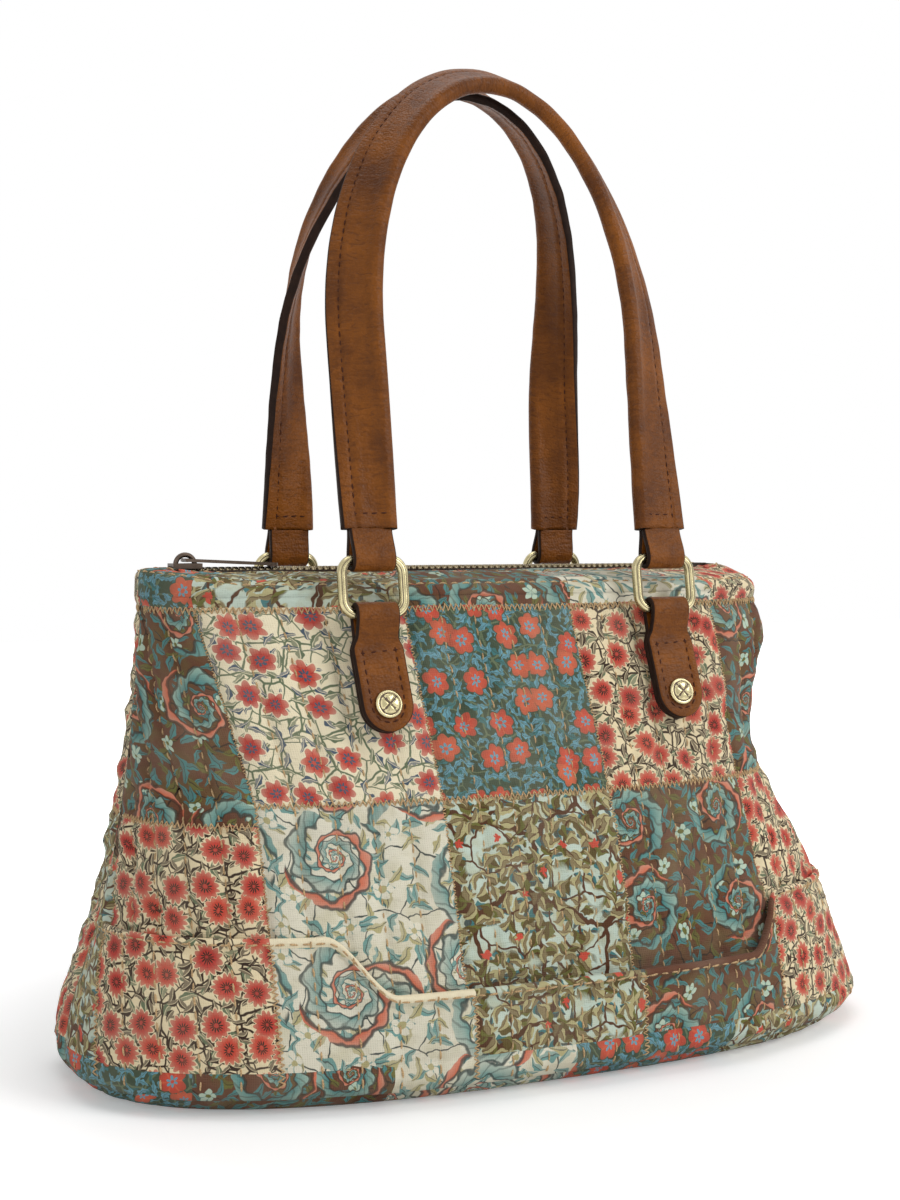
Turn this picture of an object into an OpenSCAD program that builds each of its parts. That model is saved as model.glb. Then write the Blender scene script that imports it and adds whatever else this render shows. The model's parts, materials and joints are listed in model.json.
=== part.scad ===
// Zip-top shoulder bag in quilted patchwork, with two twisted leather handles on metal rings.
// Seen from the front, +X is to the right, -Y is towards the viewer and +Z is up.
// The origin is the middle of the base, on the floor. All sizes are in millimetres.

/* [Body] */
// Height of the zip mouth above the floor
body_h = 218; // [205:1:235]
// Width across the fullest part, just above the floor
base_w = 380; // [360:1:400]
// Depth across the fullest part, just above the floor
base_d = 190; // [175:1:205]
// Half-width of the shoulder at the end where the zip closes
top_left = 160; // [156:1:168]
// Half-width of the shoulder at the end where the zip opens
top_right = 147; // [142:1:156]
// Depth across the shoulder
top_d = 98; // [90:1:108]
// How far the shoulder seam lies below the mouth
shoulder_drop = 12; // [9:1:16]
// Rounding between the base and the walls
corner_r = 15; // [12:1:18]
// Roundness of the plan: 2 is an ellipse, and more is squarer
squareness = 2.6; // [2.3:0.1:3.2]
// How fast the ends draw in above the base
end_flare = 1.6; // [1:0.1:2]
// How far the front and back bow out before they draw in: 1 is straight
face_bow = 1.3; // [1:0.05:1.6]
// Depth of the slack dent in the right-hand end
dent_in = 16; // [0:1:20]
// Height of that dent above the floor
dent_z = 130; // [115:1:150]
// Reach of that dent above and below
dent_reach = 42; // [30:1:50]
// Thickness of the quilted wall
wall = 3.2; // [2.4:0.1:4]
// Thickness of the lining
lining_t = 0.8; // [0.5:0.1:1.5]

/* [Quilting] */
// Quilted channels across the front, from side seam to side seam
channels = 27; // [23:1:31]
// How far the wadding swells between two rows of stitching
puff = 1.2; // [0.6:0.1:1.8]

/* [Front pocket] */
// Thickness of the pocket's quilted sheet
pocket_t = 2.6; // [2:0.1:3.4]
// Height of the pocket's mouth above the floor
mouth_z = 46; // [40:1:56]
// Height of the pocket's raised ends above the floor
pocket_end_z = 70; // [62:1:84]
// Left end of the mouth, along X
mouth_left = -78; // [-95:1:-60]
// Right end of the mouth, along X
mouth_right = 92; // [75:1:105]
// Length of the slope between the mouth and a raised end
mouth_slope = 26; // [18:1:32]

/* [Zip] */
// Distance from the middle of the bag to the zip's closed end
zip_left = 150; // [144:1:153]
// Distance from the middle of the bag to the zip's open end
zip_right = 124; // [116:1:130]
// Half-width of the zip mouth between the two facings
mouth_half = 13; // [11:1:15]
// Thickness of the zip facing at the mouth
facing_t = 2.4; // [2:0.1:3]
// Thickness of the zip tape
tape_t = 0.9; // [0.7:0.1:1.2]
// Spacing of the teeth along one tape
tooth_pitch = 3; // [2.6:0.1:3.6]
// Height of a tooth, through the tape
tooth_h = 2.8; // [2.4:0.1:3.4]
// How far a tooth reaches across the zip's middle line
tooth_reach = 1.4; // [1.2:0.1:1.6]
// Width of the bead that each row of teeth grows from
bead_w = 1.5; // [1.2:0.1:2]
// Length of the slider
slider_l = 13; // [11:0.5:15]
// Thickness of the slider's metal
slider_t = 1.3; // [1:0.1:1.8]
// Radius of the slider's arch, at the middle of its wire
arch_r = 4.2; // [3.8:0.1:5]
// Radius of the arch's wire
arch_wire = 1.1; // [0.9:0.1:1.3]
// Length of the pull, from its pin to its tip
pull_l = 42; // [34:1:50]
// Width of the pull
pull_w = 8; // [7:0.5:10]
// Thickness of the pull
pull_t = 1.4; // [1.2:0.1:1.8]

/* [Tabs and rings] */
// Middle of each pair of tabs, along X
pair_x = -3; // [-6:1:4]
// Distance from the middle of a pair to the middle of each tab
tab_x = 71; // [64:1:76]
// Thickness of one layer of the tab's leather
leather = 2.5; // [2:0.1:3]
// Width of a tab below its ring
tab_w = 23; // [21.5:0.5:26]
// Width of a leather loop inside a ring
loop_w = 19; // [17:0.5:20]
// Length of a tab, from the ring's lower bar to its end
tab_l = 50; // [44:1:56]
// How far the rings' lower bars lie below the zip mouth
ring_drop = 19; // [16:1:24]
// Swing of the tabs to the right below their rings, in degrees
tab_swing = 4; // [0:0.5:6]
// Lean of the rings towards the middle of the bag, in degrees
ring_lean = 9; // [4:1:14]
// Radius of the ring's wire
ring_wire = 2.2; // [1.8:0.1:2.6]
// Width of a ring between the middles of its arms
ring_w = 27.6; // [26.5:0.1:30]
// Height of a ring between the middles of its bars
ring_h = 23; // [21.5:0.5:26]
// Corner radius of a ring, at the middle of its wire
ring_corner = 6; // [4:0.5:6.5]
// Radius of the rivet's cap
rivet_r = 6; // [5:0.25:7]
// Height of the rivet's cap
rivet_h = 2.6; // [2:0.1:3.2]
// Radius of the rivet's post
post_r = 1.8; // [1.4:0.1:2.2]

/* [Handles] */
// Width of a handle
strap_w = 25; // [22:0.5:28]
// Radius of the handle's rolled edge
roll_r = 3.8; // [3.4:0.1:4.4]
// Thickness of the handle's stitched edge
edge_t = 4.4; // [3.6:0.2:5.2]
// Height of the leather loop between a ring and the handle's end
loop_h = 13; // [12:0.5:17]
// Height of a handle's straight legs above the rings
leg_h = 98; // [70:1:120]
// Height of a handle's arch above its straight legs
arch_h = 121; // [100:1:135]
// How far the back handle bows outwards between its ring and its top
back_bow = 17; // [0:1:22]
// Turn of the front handle at its top, in degrees
front_twist = 62; // [50:1:80]
// Turn of the back handle at its top, in degrees
back_twist = 100; // [85:1:110]

/* [Hidden] */

$fn = 48;
clearance = 0.3;
pin_clearance = 0.1;
// How far a cutting shape reaches past the face that it cuts
cut = 1;
// Steps of the mesh: four columns to a channel, rows of the rounding and of the wall
columns = channels * 4;
corner_rows = 3;
wall_rows = 8;
shoulder_z = body_h - shoulder_drop;
ring_z = body_h - ring_drop;

print_cream = "#e3d8ba";
print_white = "#d5d8c8";
print_green = "#5d6a4f";
print_brown = "#6f4a3a";
tan_leather = "#8a4f22";
dark_metal = "#5a5048";
pale_brass = "#c9c08e";

// Plan of the bag: half-width, half-depth and the point at an angle and height
function rise(z) = (z - corner_r) / (shoulder_z - corner_r);
function drawn_in(z, low, high, power) = high + (low - high) * pow(max(0, 1 - rise(z)), power);
function dent(z) = dent_in * exp(-pow((z - dent_z) / dent_reach, 2));
function half_w(z, side) =
    drawn_in(z, base_w / 2, side < 0 ? top_left : top_right, end_flare) - (side > 0 ? dent(z) : 0);
function half_d(z) = base_d / 2 - (base_d - top_d) / 2 * pow(max(0, rise(z)), face_bow);
function unit(t) = [for (c = [cos(t), sin(t)]) sign(c) * pow(abs(c), 2 / squareness)];

// Depth of the front face at a place across the bag
function face_y(x, z) =
    half_d(z) * pow(1 - pow(abs(x) / half_w(z, x), squareness), 1 / squareness);

// Angle round the plan at a share of the way from the left seam over the front to the right seam
mid_z = (corner_r + shoulder_z) / 2;
quarter_steps = 90;
function mid_point(i) =
    let (u = unit(180 + 90 * i / quarter_steps))
    [u[0] * (half_w(mid_z, -1) + half_w(mid_z, 1)) / 2, u[1] * half_d(mid_z)];
function mid_run(i) = norm(mid_point(i + 1) - mid_point(i));
quarter = [
    for (i = 0, run = 0; i <= quarter_steps; run = run + mid_run(i), i = i + 1)
        [run, 180 + 90 * i / quarter_steps]
];
quarter_l = quarter[quarter_steps][0];
function turn(share) =
    share <= 0.5
        ? lookup(share * 2 * quarter_l, quarter)
        : 540 - lookup((1 - share) * 2 * quarter_l, quarter);

// Levels of the wall: reference height, growth of the plan, height,
// and the outward and upward parts of the normal
corner_levels = [
    for (i = [0:corner_rows])
        let (p = 90 * i / corner_rows)
        [corner_r, corner_r * (sin(p) - 1), corner_r * (1 - cos(p)), sin(p), -cos(p)]
];
wall_levels = [
    for (i = [1:wall_rows])
        let (z = corner_r + (shoulder_z - corner_r) * i / wall_rows)
        [z, 0, z, 1, 0]
];
levels = concat(corner_levels, wall_levels);
top_level = levels[len(levels) - 1];

// Point of the wall at an angle, a distance d out from its smooth outer face
function skin(level, t, d) =
    let (u = unit(t), g = level[1] + d * level[3])
    [u[0] * (half_w(level[0], u[0]) + g), u[1] * (half_d(level[0]) + g), level[2] + d * level[4]];

// Swell of the wadding: nothing on a row of stitching, most half-way between two rows
function swell(j) = puff * abs(sin(180 * j / 4));

// Triangles of a grid of points, and a closed sheet between an outer and an inner grid
function grid(rows, cols, first, flip) = [
    for (i = [0:rows - 2], j = [0:cols - 2])
        let (a = first + i * cols + j, b = a + 1, c = a + cols, d = c + 1)
        each flip ? [[a, c, b], [b, c, d]] : [[a, b, c], [b, d, c]]
];
function edge(from, to, flip) = [
    for (i = [0:len(from) - 2])
        let (a = from[i], b = from[i + 1], c = to[i], d = to[i + 1])
        each flip ? [[a, c, b], [b, c, d]] : [[a, b, c], [b, d, c]]
];
module sheet(outer, inner) {
    rows = len(outer);
    cols = len(outer[0]);
    half = rows * cols;
    low = [for (j = [0:cols - 1]) j];
    high = [for (j = [0:cols - 1]) (rows - 1) * cols + j];
    left = [for (i = [0:rows - 1]) i * cols];
    right = [for (i = [0:rows - 1]) i * cols + cols - 1];
    polyhedron(
        points = [for (g = [outer, inner], r = g) each r],
        faces = concat(
            grid(rows, cols, 0, true),
            grid(rows, cols, half, false),
            edge(low, [for (k = low) k + half], false),
            edge(high, [for (k = high) k + half], true),
            edge(left, [for (k = left) k + half], true),
            edge(right, [for (k = right) k + half], false)
        )
    );
}

module mirrored_back(back) {
    mirror([0, back ? 1 : 0, 0]) children();
}

// Front wall from side seam to side seam; the back wall is its mirror image
module wall_panel() {
    last = len(levels) - 1;
    outer = [
        for (i = [0:last])
            let (sewn = i == 0 || i == last)
            [for (j = [0:columns]) skin(levels[i], turn(j / columns), sewn ? 0 : swell(j))]
    ];
    inner = [for (level = levels) [for (j = [0:columns]) skin(level, turn(j / columns), -wall)]];
    sheet(outer, inner);
}
module front_panel() {
    color(print_cream) wall_panel();
}
module back_panel() {
    color(print_cream) mirrored_back(true) wall_panel();
}

// Flat base: its rim is the seam that the walls are sewn to
module base_panel() {
    seam = [for (j = [0:columns]) turn(j / columns)];
    front = [for (t = seam) let (p = skin(levels[0], t, 0)) [p[0], p[1]]];
    back = [for (j = [columns - 1:-1:1]) [front[j][0], -front[j][1]]];
    color(print_green) linear_extrude(wall) polygon(concat(front, back));
}

// Slip pocket over the lower front, sewn into the side seams, with a dipped mouth
pocket_rows = 6;
pocket_foot = levels[corner_rows - 1];
function pocket_top(x) =
    let (
        in_left = (mouth_left - x) / mouth_slope,
        in_right = (x - mouth_right) / mouth_slope,
        share = max(0, min(1, max(in_left, in_right)))
    )
    mouth_z + (pocket_end_z - mouth_z) * share * share * (3 - 2 * share);
function pocket_level(t, i) =
    i == 0
        ? pocket_foot
        : let (
            x = unit(t)[0] * half_w(mouth_z, unit(t)[0]),
            z = corner_r + (pocket_top(x) - corner_r) * (i - 1) / (pocket_rows - 1)
        )
        [z, 0, z, 1, 0];
module front_pocket() {
    seat = puff + clearance;
    outer = [
        for (i = [0:pocket_rows])
            [
                for (j = [0:columns])
                    let (t = turn(j / columns), flat = i == 0 || i == pocket_rows)
                    skin(pocket_level(t, i), t, seat + pocket_t + (flat ? 0 : swell(j)))
            ]
    ];
    inner = [
        for (i = [0:pocket_rows])
            [for (j = [0:columns]) let (t = turn(j / columns)) skin(pocket_level(t, i), t, seat)]
    ];
    color(print_white) sheet(outer, inner);
}

// Lining: a thin cup that hangs inside the walls from the shoulder seam
lining_columns = 72;
module lining() {
    out_d = -(wall + clearance);
    in_d = out_d - lining_t;
    angles = [for (j = [0:lining_columns - 1]) 360 * j / lining_columns];
    outer = [for (level = levels, t = angles) skin(level, t, out_d)];
    inner = [for (level = levels, t = angles) skin(level, t, in_d)];
    count = lining_columns;
    rows = len(levels);
    half = rows * count;
    foot_out = 2 * half;
    foot_in = foot_out + 1;
    rim = (rows - 1) * count;
    color(print_brown) polyhedron(
        points = concat(outer, inner, [[0, 0, -out_d], [0, 0, -in_d]]),
        faces = concat(
            [
                for (i = [0:rows - 2], j = [0:count - 1])
                    let (
                        a = i * count + j,
                        b = i * count + (j + 1) % count,
                        c = a + count,
                        d = b + count
                    )
                    each [
                        [a, c, b], [b, c, d],
                        [half + a, half + b, half + c], [half + b, half + d, half + c],
                    ]
            ],
            [
                for (j = [0:count - 1])
                    let (k = (j + 1) % count)
                    each [
                        [foot_out, j, k],
                        [foot_in, half + k, half + j],
                        [rim + j, half + rim + j, rim + k],
                        [rim + k, half + rim + j, half + rim + k],
                    ]
            ]
        )
    );
}

// Zip facing: the domed strip from the shoulder seam in to the straight mouth
facing_shares = [0, 0.1, 0.34, 0.68, 1];
function facing_lift(w) = sqrt(1 - pow(1 - w, 2));
function mouth_point(j) =
    let (along = (j - 1) / (columns - 2))
    j == 0 ? [-zip_left, 0]
    : j == columns ? [zip_right, 0]
    : [-zip_left + (zip_left + zip_right) * along, -mouth_half];
function facing_point(j, w, deep) =
    let (
        s = skin(top_level, turn(j / columns), -deep * wall * (1 - facing_lift(w))),
        m = mouth_point(j),
        lift = facing_lift(w)
    )
    [
        s[0] + (m[0] - s[0]) * w,
        s[1] + (m[1] - s[1]) * w,
        shoulder_z + shoulder_drop * lift - deep * facing_t * lift
    ];
module zip_facing(back) {
    color(print_white) mirrored_back(back) sheet(
        [for (w = facing_shares) [for (j = [0:columns]) facing_point(j, w, 0)]],
        [for (w = facing_shares) [for (j = [0:columns]) facing_point(j, w, 1)]]
    );
}
module zip_facing_front() { zip_facing(false); }
module zip_facing_back() { zip_facing(true); }

// Zip: tapes sewn to the facings' edges, two rows of teeth, and a stop at each end
zip_l = zip_left + zip_right;
tape_z = body_h - facing_t / 2;
tooth_gap = 0.25;
tooth_w = tooth_pitch / 2 - tooth_gap;
stop_l = 4;
stop_w = 2 * (tooth_reach + bead_w);
chain_from = -zip_left + stop_l + clearance;
chain_to = zip_right - stop_l - clearance;
teeth = floor((chain_to - chain_from) / tooth_pitch - 0.5);
module zip_tape(back) {
    color(print_brown) mirrored_back(back)
        translate([-zip_left, -mouth_half, tape_z - tape_t / 2])
            cube([zip_l, mouth_half - tooth_reach - bead_w, tape_t]);
}
module zip_tape_front() { zip_tape(false); }
module zip_tape_back() { zip_tape(true); }

module zip_teeth(back) {
    first = chain_from + (back ? tooth_pitch / 2 : 0);
    bead = -tooth_reach - bead_w;
    comb = [
        for (k = [0:teeth - 1])
            let (x = first + k * tooth_pitch)
            each [
                [x, -tooth_reach], [x, tooth_reach],
                [x + tooth_w, tooth_reach], [x + tooth_w, -tooth_reach],
            ]
    ];
    end = first + (teeth - 1) * tooth_pitch + tooth_w;
    color(dark_metal) mirrored_back(back)
        translate([0, 0, tape_z - tooth_h / 2])
            linear_extrude(tooth_h) polygon(concat(comb, [[end, bead], [first, bead]]));
}
module zip_teeth_front() { zip_teeth(false); }
module zip_teeth_back() { zip_teeth(true); }

module zip_stops() {
    color(dark_metal)
        for (x = [-zip_left, zip_right - stop_l])
            translate([x, -stop_w / 2, tape_z - tooth_h / 2]) cube([stop_l, stop_w, tooth_h]);
}

// Slider: a cap that rides on the teeth, with an arch that the pull's pin turns in
slider_x = chain_from + slider_l / 2;
slider_w = 2 * (tooth_reach + bead_w + slider_t + clearance);
channel_w = slider_w - 2 * slider_t;
slider_top = tape_z + tooth_h / 2 + clearance + slider_t;
cheek_foot = tape_z + tape_t / 2 + clearance;
arch_z = slider_top - arch_wire / 2;
module zip_slider() {
    color(dark_metal) translate([slider_x, 0, 0]) {
        difference() {
            translate([-slider_l / 2, -slider_w / 2, cheek_foot])
                cube([slider_l, slider_w, slider_top - cheek_foot]);
            translate([-slider_l / 2 - cut, -slider_w / 2 + slider_t, cheek_foot - cut])
                cube([slider_l + 2 * cut, channel_w, slider_top - slider_t - cheek_foot + cut]);
        }
        intersection() {
            translate([0, 0, arch_z]) rotate([90, 0, 0])
                rotate_extrude() translate([arch_r, 0]) circle(arch_wire);
            translate([-slider_l / 2, -slider_w / 2, slider_top - slider_t / 2])
                cube([slider_l, slider_w, arch_r + 2 * arch_wire + slider_t]);
        }
    }
}

// Pull: a pin through the arch, two rails beside it and a long tongue that lies on the zip
pin_r = 0.8;
pin_z = slider_top + norm([pin_r, pull_t / 2]) + clearance;
rail_y = arch_wire + clearance;
tongue_from = arch_r + arch_wire + 2 * clearance;
rail_w = (pull_w - 2 * rail_y) / 2;
tip_rest = pull_l - pull_w / 4;
pull_drop = asin((pin_z - pull_t / 2 - tape_z - tooth_h / 2 - clearance) / tip_rest);
module zip_pull() {
    color(dark_metal) translate([slider_x, 0, pin_z]) rotate([0, pull_drop, 0]) {
        rotate([90, 0, 0]) cylinder(r = pin_r, h = 2 * rail_y + 2 * rail_w, center = true);
        for (s = [-1, 1])
            translate([0, s * (rail_y + rail_w / 2), 0])
                translate([-pin_r, -rail_w / 2, -pull_t / 2])
                    cube([tongue_from + 2 * pin_r, rail_w, pull_t]);
        translate([tongue_from, -pull_w / 2, -pull_t / 2])
            cube([pull_l - tongue_from - pull_w / 2, pull_w, pull_t]);
        translate([pull_l - pull_w / 2, 0, -pull_t / 2]) cylinder(d = pull_w, h = pull_t);
    }
}

// Tabs: where they lie on the front, and the ring's two bars
bar_bore = ring_wire + clearance + pin_clearance;
loop_r = bar_bore + leather;
function deepest(z) =
    max([for (s = [-1, 1]) face_y(pair_x + s * (tab_x - tab_w / 2), z)]) + puff + clearance;
tab_lean = atan((deepest(ring_z - tab_l) - deepest(ring_z)) / tab_l);
bar_y = deepest(ring_z) + loop_r / cos(tab_lean);
upper_y = bar_y - ring_h * sin(ring_lean);
upper_z = ring_z + ring_h * cos(ring_lean);
plate_t = 2 * leather;
fold_l = 14;
fold_turn = 25;

// Places a child at a ring's lower or upper bar, leaning in towards the middle of the bag
module at_lower_bar(side, back, lean) {
    mirrored_back(back)
        translate([pair_x + side * tab_x, -bar_y, ring_z]) rotate([-lean, 0, 0]) children();
}
module at_upper_bar(side, back) {
    mirrored_back(back)
        translate([pair_x + side * tab_x, -upper_y, upper_z]) rotate([-handle_lean, 0, 0]) children();
}

// A strap folded round a bar: loop at the origin, two layers closing to a plate below, back at +Y
module folded_strap(length) {
    back_y = loop_r;
    front_y = loop_r - plate_t;
    translate([-loop_w / 2, 0, 0]) rotate([90, 0, 90]) linear_extrude(loop_w) polygon([
        [back_y, 0], [back_y, -length], [front_y, -length], [front_y, -fold_l],
        [-loop_r * cos(fold_turn), -loop_r * sin(fold_turn)], [-loop_r, 0]
    ]);
    rotate([0, 90, 0]) cylinder(r = loop_r, h = loop_w, center = true);
}
module bar_hole() {
    rotate([0, 90, 0]) cylinder(r = bar_bore, h = loop_w + 2 * cut, center = true);
}

// Below its fold a tab hangs askew, turned in its own plane
rivet_drop = tab_l - tab_w / 2;
module askew() {
    translate([0, 0, -fold_l]) rotate([0, -tab_swing, 0]) translate([0, 0, fold_l]) children();
}
module tab(side, back) {
    color(tan_leather) at_lower_bar(side, back, tab_lean) difference() {
        union() {
            folded_strap(fold_l + leather);
            askew() translate([0, loop_r, 0]) rotate([90, 0, 0]) linear_extrude(plate_t) {
                translate([-tab_w / 2, -rivet_drop]) square([tab_w, rivet_drop - fold_l]);
                translate([0, -rivet_drop]) circle(d = tab_w);
            }
        }
        bar_hole();
        askew() translate([0, 0, -rivet_drop]) rotate([90, 0, 0])
            cylinder(r = post_r + pin_clearance, h = 4 * loop_r, center = true);
    }
}
module tab_front_left() { tab(-1, false); }
module tab_front_right() { tab(1, false); }
module tab_back_left() { tab(-1, true); }
module tab_back_right() { tab(1, true); }

// Rivet: a domed cap on a post through both layers of the tab
dome_r = (rivet_r * rivet_r + rivet_h * rivet_h) / (2 * rivet_h);
module rivet(side, back) {
    color(pale_brass) at_lower_bar(side, back, tab_lean) askew()
        translate([0, loop_r - plate_t, -rivet_drop]) rotate([90, 0, 0]) {
            intersection() {
                translate([0, 0, rivet_h - dome_r]) sphere(dome_r);
                cylinder(r = rivet_r + cut, h = rivet_h + cut);
            }
            translate([0, 0, -plate_t]) cylinder(r = post_r, h = plate_t + rivet_h / 2);
        }
}
module rivet_front_left() { rivet(-1, false); }
module rivet_front_right() { rivet(1, false); }
module rivet_back_left() { rivet(-1, true); }
module rivet_back_right() { rivet(1, true); }

// Ring: two bars and two arms of round wire, joined by quarter turns
module ring(side, back) {
    arm_x = ring_w / 2;
    bar_l = ring_w - 2 * ring_corner;
    arm_l = ring_h - 2 * ring_corner;
    color(pale_brass) at_lower_bar(side, back, ring_lean) {
        for (z = [0, ring_h])
            translate([-bar_l / 2, 0, z]) rotate([0, 90, 0]) cylinder(r = ring_wire, h = bar_l);
        for (s = [-1, 1])
            translate([s * arm_x, 0, ring_corner]) cylinder(r = ring_wire, h = arm_l);
        for (s = [-1, 1], top = [0, 1])
            translate([s * bar_l / 2, 0, ring_corner + top * arm_l])
                rotate([90, 0, 0])
                    rotate([0, 0, s > 0 ? (top ? 0 : -90) : (top ? 90 : 180)])
                        rotate_extrude(angle = 90) translate([ring_corner, 0]) circle(ring_wire);
    }
}
module ring_front_left() { ring(-1, false); }
module ring_front_right() { ring(1, false); }
module ring_back_left() { ring(-1, true); }
module ring_back_right() { ring(1, true); }

// Handles lean in from the rings until they meet over the middle of the bag
meet_gap = 0.8;
top_reach = max(abs(sin(front_twist)), abs(sin(back_twist))) * strap_w / 2;
handle_h = leg_h + arch_h;
handle_lean = asin((upper_y - top_reach - meet_gap) / handle_h);

// Leather loop between a ring and the handle's end
module handle_loop(side, back) {
    color(tan_leather) at_upper_bar(side, back) difference() {
        end_loop();
        bar_hole();
    }
}
module end_loop() {
    plate = plate_t / 2;
    translate([-loop_w / 2, 0, 0]) rotate([90, 0, 90]) linear_extrude(loop_w) polygon([
        [loop_r * cos(fold_turn), loop_r * sin(fold_turn)], [plate, loop_h],
        [-plate, loop_h], [-loop_r * cos(fold_turn), loop_r * sin(fold_turn)]
    ]);
    rotate([0, 90, 0]) cylinder(r = loop_r, h = loop_w, center = true);
}
module loop_front_left() { handle_loop(-1, false); }
module loop_front_right() { handle_loop(1, false); }
module loop_back_left() { handle_loop(-1, true); }
module loop_back_right() { handle_loop(1, true); }

// Line of a handle: two legs and half an ellipse, as [x, height] with the share of the way to the top
leg_steps = 5;
arch_steps = 26;
leg_line = [for (i = [0:leg_steps - 1]) [-tab_x, loop_h + (leg_h - loop_h) * i / leg_steps]];
arch_line = [
    for (i = [0:arch_steps])
        let (a = 180 - 180 * i / arch_steps)
        [tab_x * cos(a), leg_h + arch_h * sin(a)]
];
line = concat(leg_line, arch_line, [for (i = [leg_steps - 1:-1:0]) [tab_x, leg_line[i][1]]]);
stations = len(line);
function step_l(i) = norm(line[min(i + 1, stations - 1)] - line[i]);
runs = [for (i = 0, run = 0; i < stations; run = run + step_l(i), i = i + 1) run];
line_l = runs[stations - 1];
function heading(i) =
    let (d = line[min(i + 1, stations - 1)] - line[max(i - 1, 0)])
    i == 0 ? [0, 1] : i == stations - 1 ? [0, -1] : d / norm(d);
function share(i) = 1 - abs(2 * runs[i] / line_l - 1);

// Section of a handle: [across, through], rolled round at one edge and thin at the stitched edge
roll_at = -(strap_w / 2 - roll_r);
roll_from = 70;
roll_step = 44;
flat_to = strap_w / 8;
handle_section = concat(
    [[strap_w / 2, -edge_t / 2], [strap_w / 2, edge_t / 2], [flat_to, edge_t / 2]],
    [for (a = [roll_from:roll_step:360 - roll_from]) [roll_at + roll_r * cos(a), roll_r * sin(a)]],
    [[flat_to, -edge_t / 2]]
);
module handle_sweep(twist, bow) {
    count = len(handle_section);
    points = [
        for (i = [0:stations - 1])
            let (
                h = heading(i),
                turned = twist * sin(90 * share(i)),
                out = -bow * pow(sin(180 * line[i][1] / handle_h), 2),
                outward = [-h[1], 0, h[0]],
                across = outward * cos(turned) + [0, 1, 0] * sin(turned),
                through = [0, -1, 0] * cos(turned) + outward * sin(turned)
            )
            for (p = handle_section)
                [line[i][0], out, line[i][1]] + across * p[0] + through * p[1]
    ];
    polyhedron(
        points = points,
        faces = concat(
            [[for (k = [0:count - 1]) k], [for (k = [count - 1:-1:0]) (stations - 1) * count + k]],
            [
                for (i = [0:stations - 2], k = [0:count - 1])
                    let (m = (k + 1) % count, a = i * count + k, b = i * count + m)
                    each [[a, a + count, b], [b, a + count, b + count]]
            ]
        )
    );
}
module handle(twist, bow, back) {
    color(tan_leather) mirrored_back(back)
        translate([pair_x, -upper_y, upper_z]) rotate([-handle_lean, 0, 0]) handle_sweep(twist, bow);
}
module handle_front() { handle(front_twist, 0, false); }
module handle_back() { handle(back_twist, back_bow, true); }

front_panel();
back_panel();
base_panel();
front_pocket();
lining();
zip_facing_front();
zip_facing_back();
zip_tape_front();
zip_tape_back();
zip_teeth_front();
zip_teeth_back();
zip_stops();
zip_slider();
zip_pull();
tab_front_left();
tab_front_right();
tab_back_left();
tab_back_right();
rivet_front_left();
rivet_front_right();
rivet_back_left();
rivet_back_right();
ring_front_left();
ring_front_right();
ring_back_left();
ring_back_right();
handle_front();
handle_back();
loop_front_left();
loop_front_right();
loop_back_left();
loop_back_right();
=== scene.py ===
import json
import math
from math import pi

import bmesh
import bpy
import numpy as np
from bpy.props import FloatProperty, FloatVectorProperty, PointerProperty
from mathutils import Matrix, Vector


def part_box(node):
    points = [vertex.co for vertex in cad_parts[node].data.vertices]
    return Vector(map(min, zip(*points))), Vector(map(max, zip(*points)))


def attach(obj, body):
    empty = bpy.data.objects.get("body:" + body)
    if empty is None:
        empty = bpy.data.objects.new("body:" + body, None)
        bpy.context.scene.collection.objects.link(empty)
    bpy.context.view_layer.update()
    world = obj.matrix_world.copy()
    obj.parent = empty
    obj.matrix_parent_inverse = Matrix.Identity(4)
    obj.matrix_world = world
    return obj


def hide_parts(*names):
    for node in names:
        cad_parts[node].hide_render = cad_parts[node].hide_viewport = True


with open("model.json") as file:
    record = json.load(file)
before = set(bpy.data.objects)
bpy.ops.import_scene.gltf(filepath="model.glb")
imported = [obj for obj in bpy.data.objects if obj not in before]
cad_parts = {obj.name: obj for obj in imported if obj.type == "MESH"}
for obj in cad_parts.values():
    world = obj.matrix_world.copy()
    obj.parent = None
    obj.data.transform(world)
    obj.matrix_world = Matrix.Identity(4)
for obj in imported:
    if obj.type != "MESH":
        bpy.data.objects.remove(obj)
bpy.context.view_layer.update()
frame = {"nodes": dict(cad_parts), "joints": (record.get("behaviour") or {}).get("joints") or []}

bl_info = {
    "name": "Patchwork Zip-top Handbag",
    "version": (1, 0, 0),
    "blender": (4, 5, 0),
    "location": "3D View > Sidebar > Handbag",
    "description": "Dresses the frame of a quilted patchwork handbag with cloth, leather, thread and metal",
    "category": "Object",
}

MM = 0.001
JOINTS = {joint["name"]: joint for joint in frame["joints"]}
LOWER_BAR = np.array(JOINTS["front_ring_swing"]["pos_m"])
UPPER_BAR = np.array(JOINTS["front_handle_swing"]["pos_m"])


# Sizes and colours that a user can change

def length(name, description, mm):
    """A length for the panel, written in millimetres."""
    return FloatProperty(name=name, description=description, default=mm * MM, unit="LENGTH", precision=5)


def angle(name, description, degrees):
    """An angle for the panel, written in degrees."""
    return FloatProperty(name=name, description=description, default=math.radians(degrees), subtype="ANGLE")


def linear(hex_colour):
    """The linear colour of an sRGB hex value."""
    parts = [int(hex_colour[i:i + 2], 16) / 255 for i in (1, 3, 5)]
    return tuple(c / 12.92 if c <= 0.04045 else ((c + 0.055) / 1.055) ** 2.4 for c in parts)


def colour(name, description, hex_colour):
    """A colour for the panel, written as an sRGB hex value."""
    return FloatVectorProperty(
        name=name, description=description, default=linear(hex_colour), subtype="COLOR", size=3, min=0, max=1
    )


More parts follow.
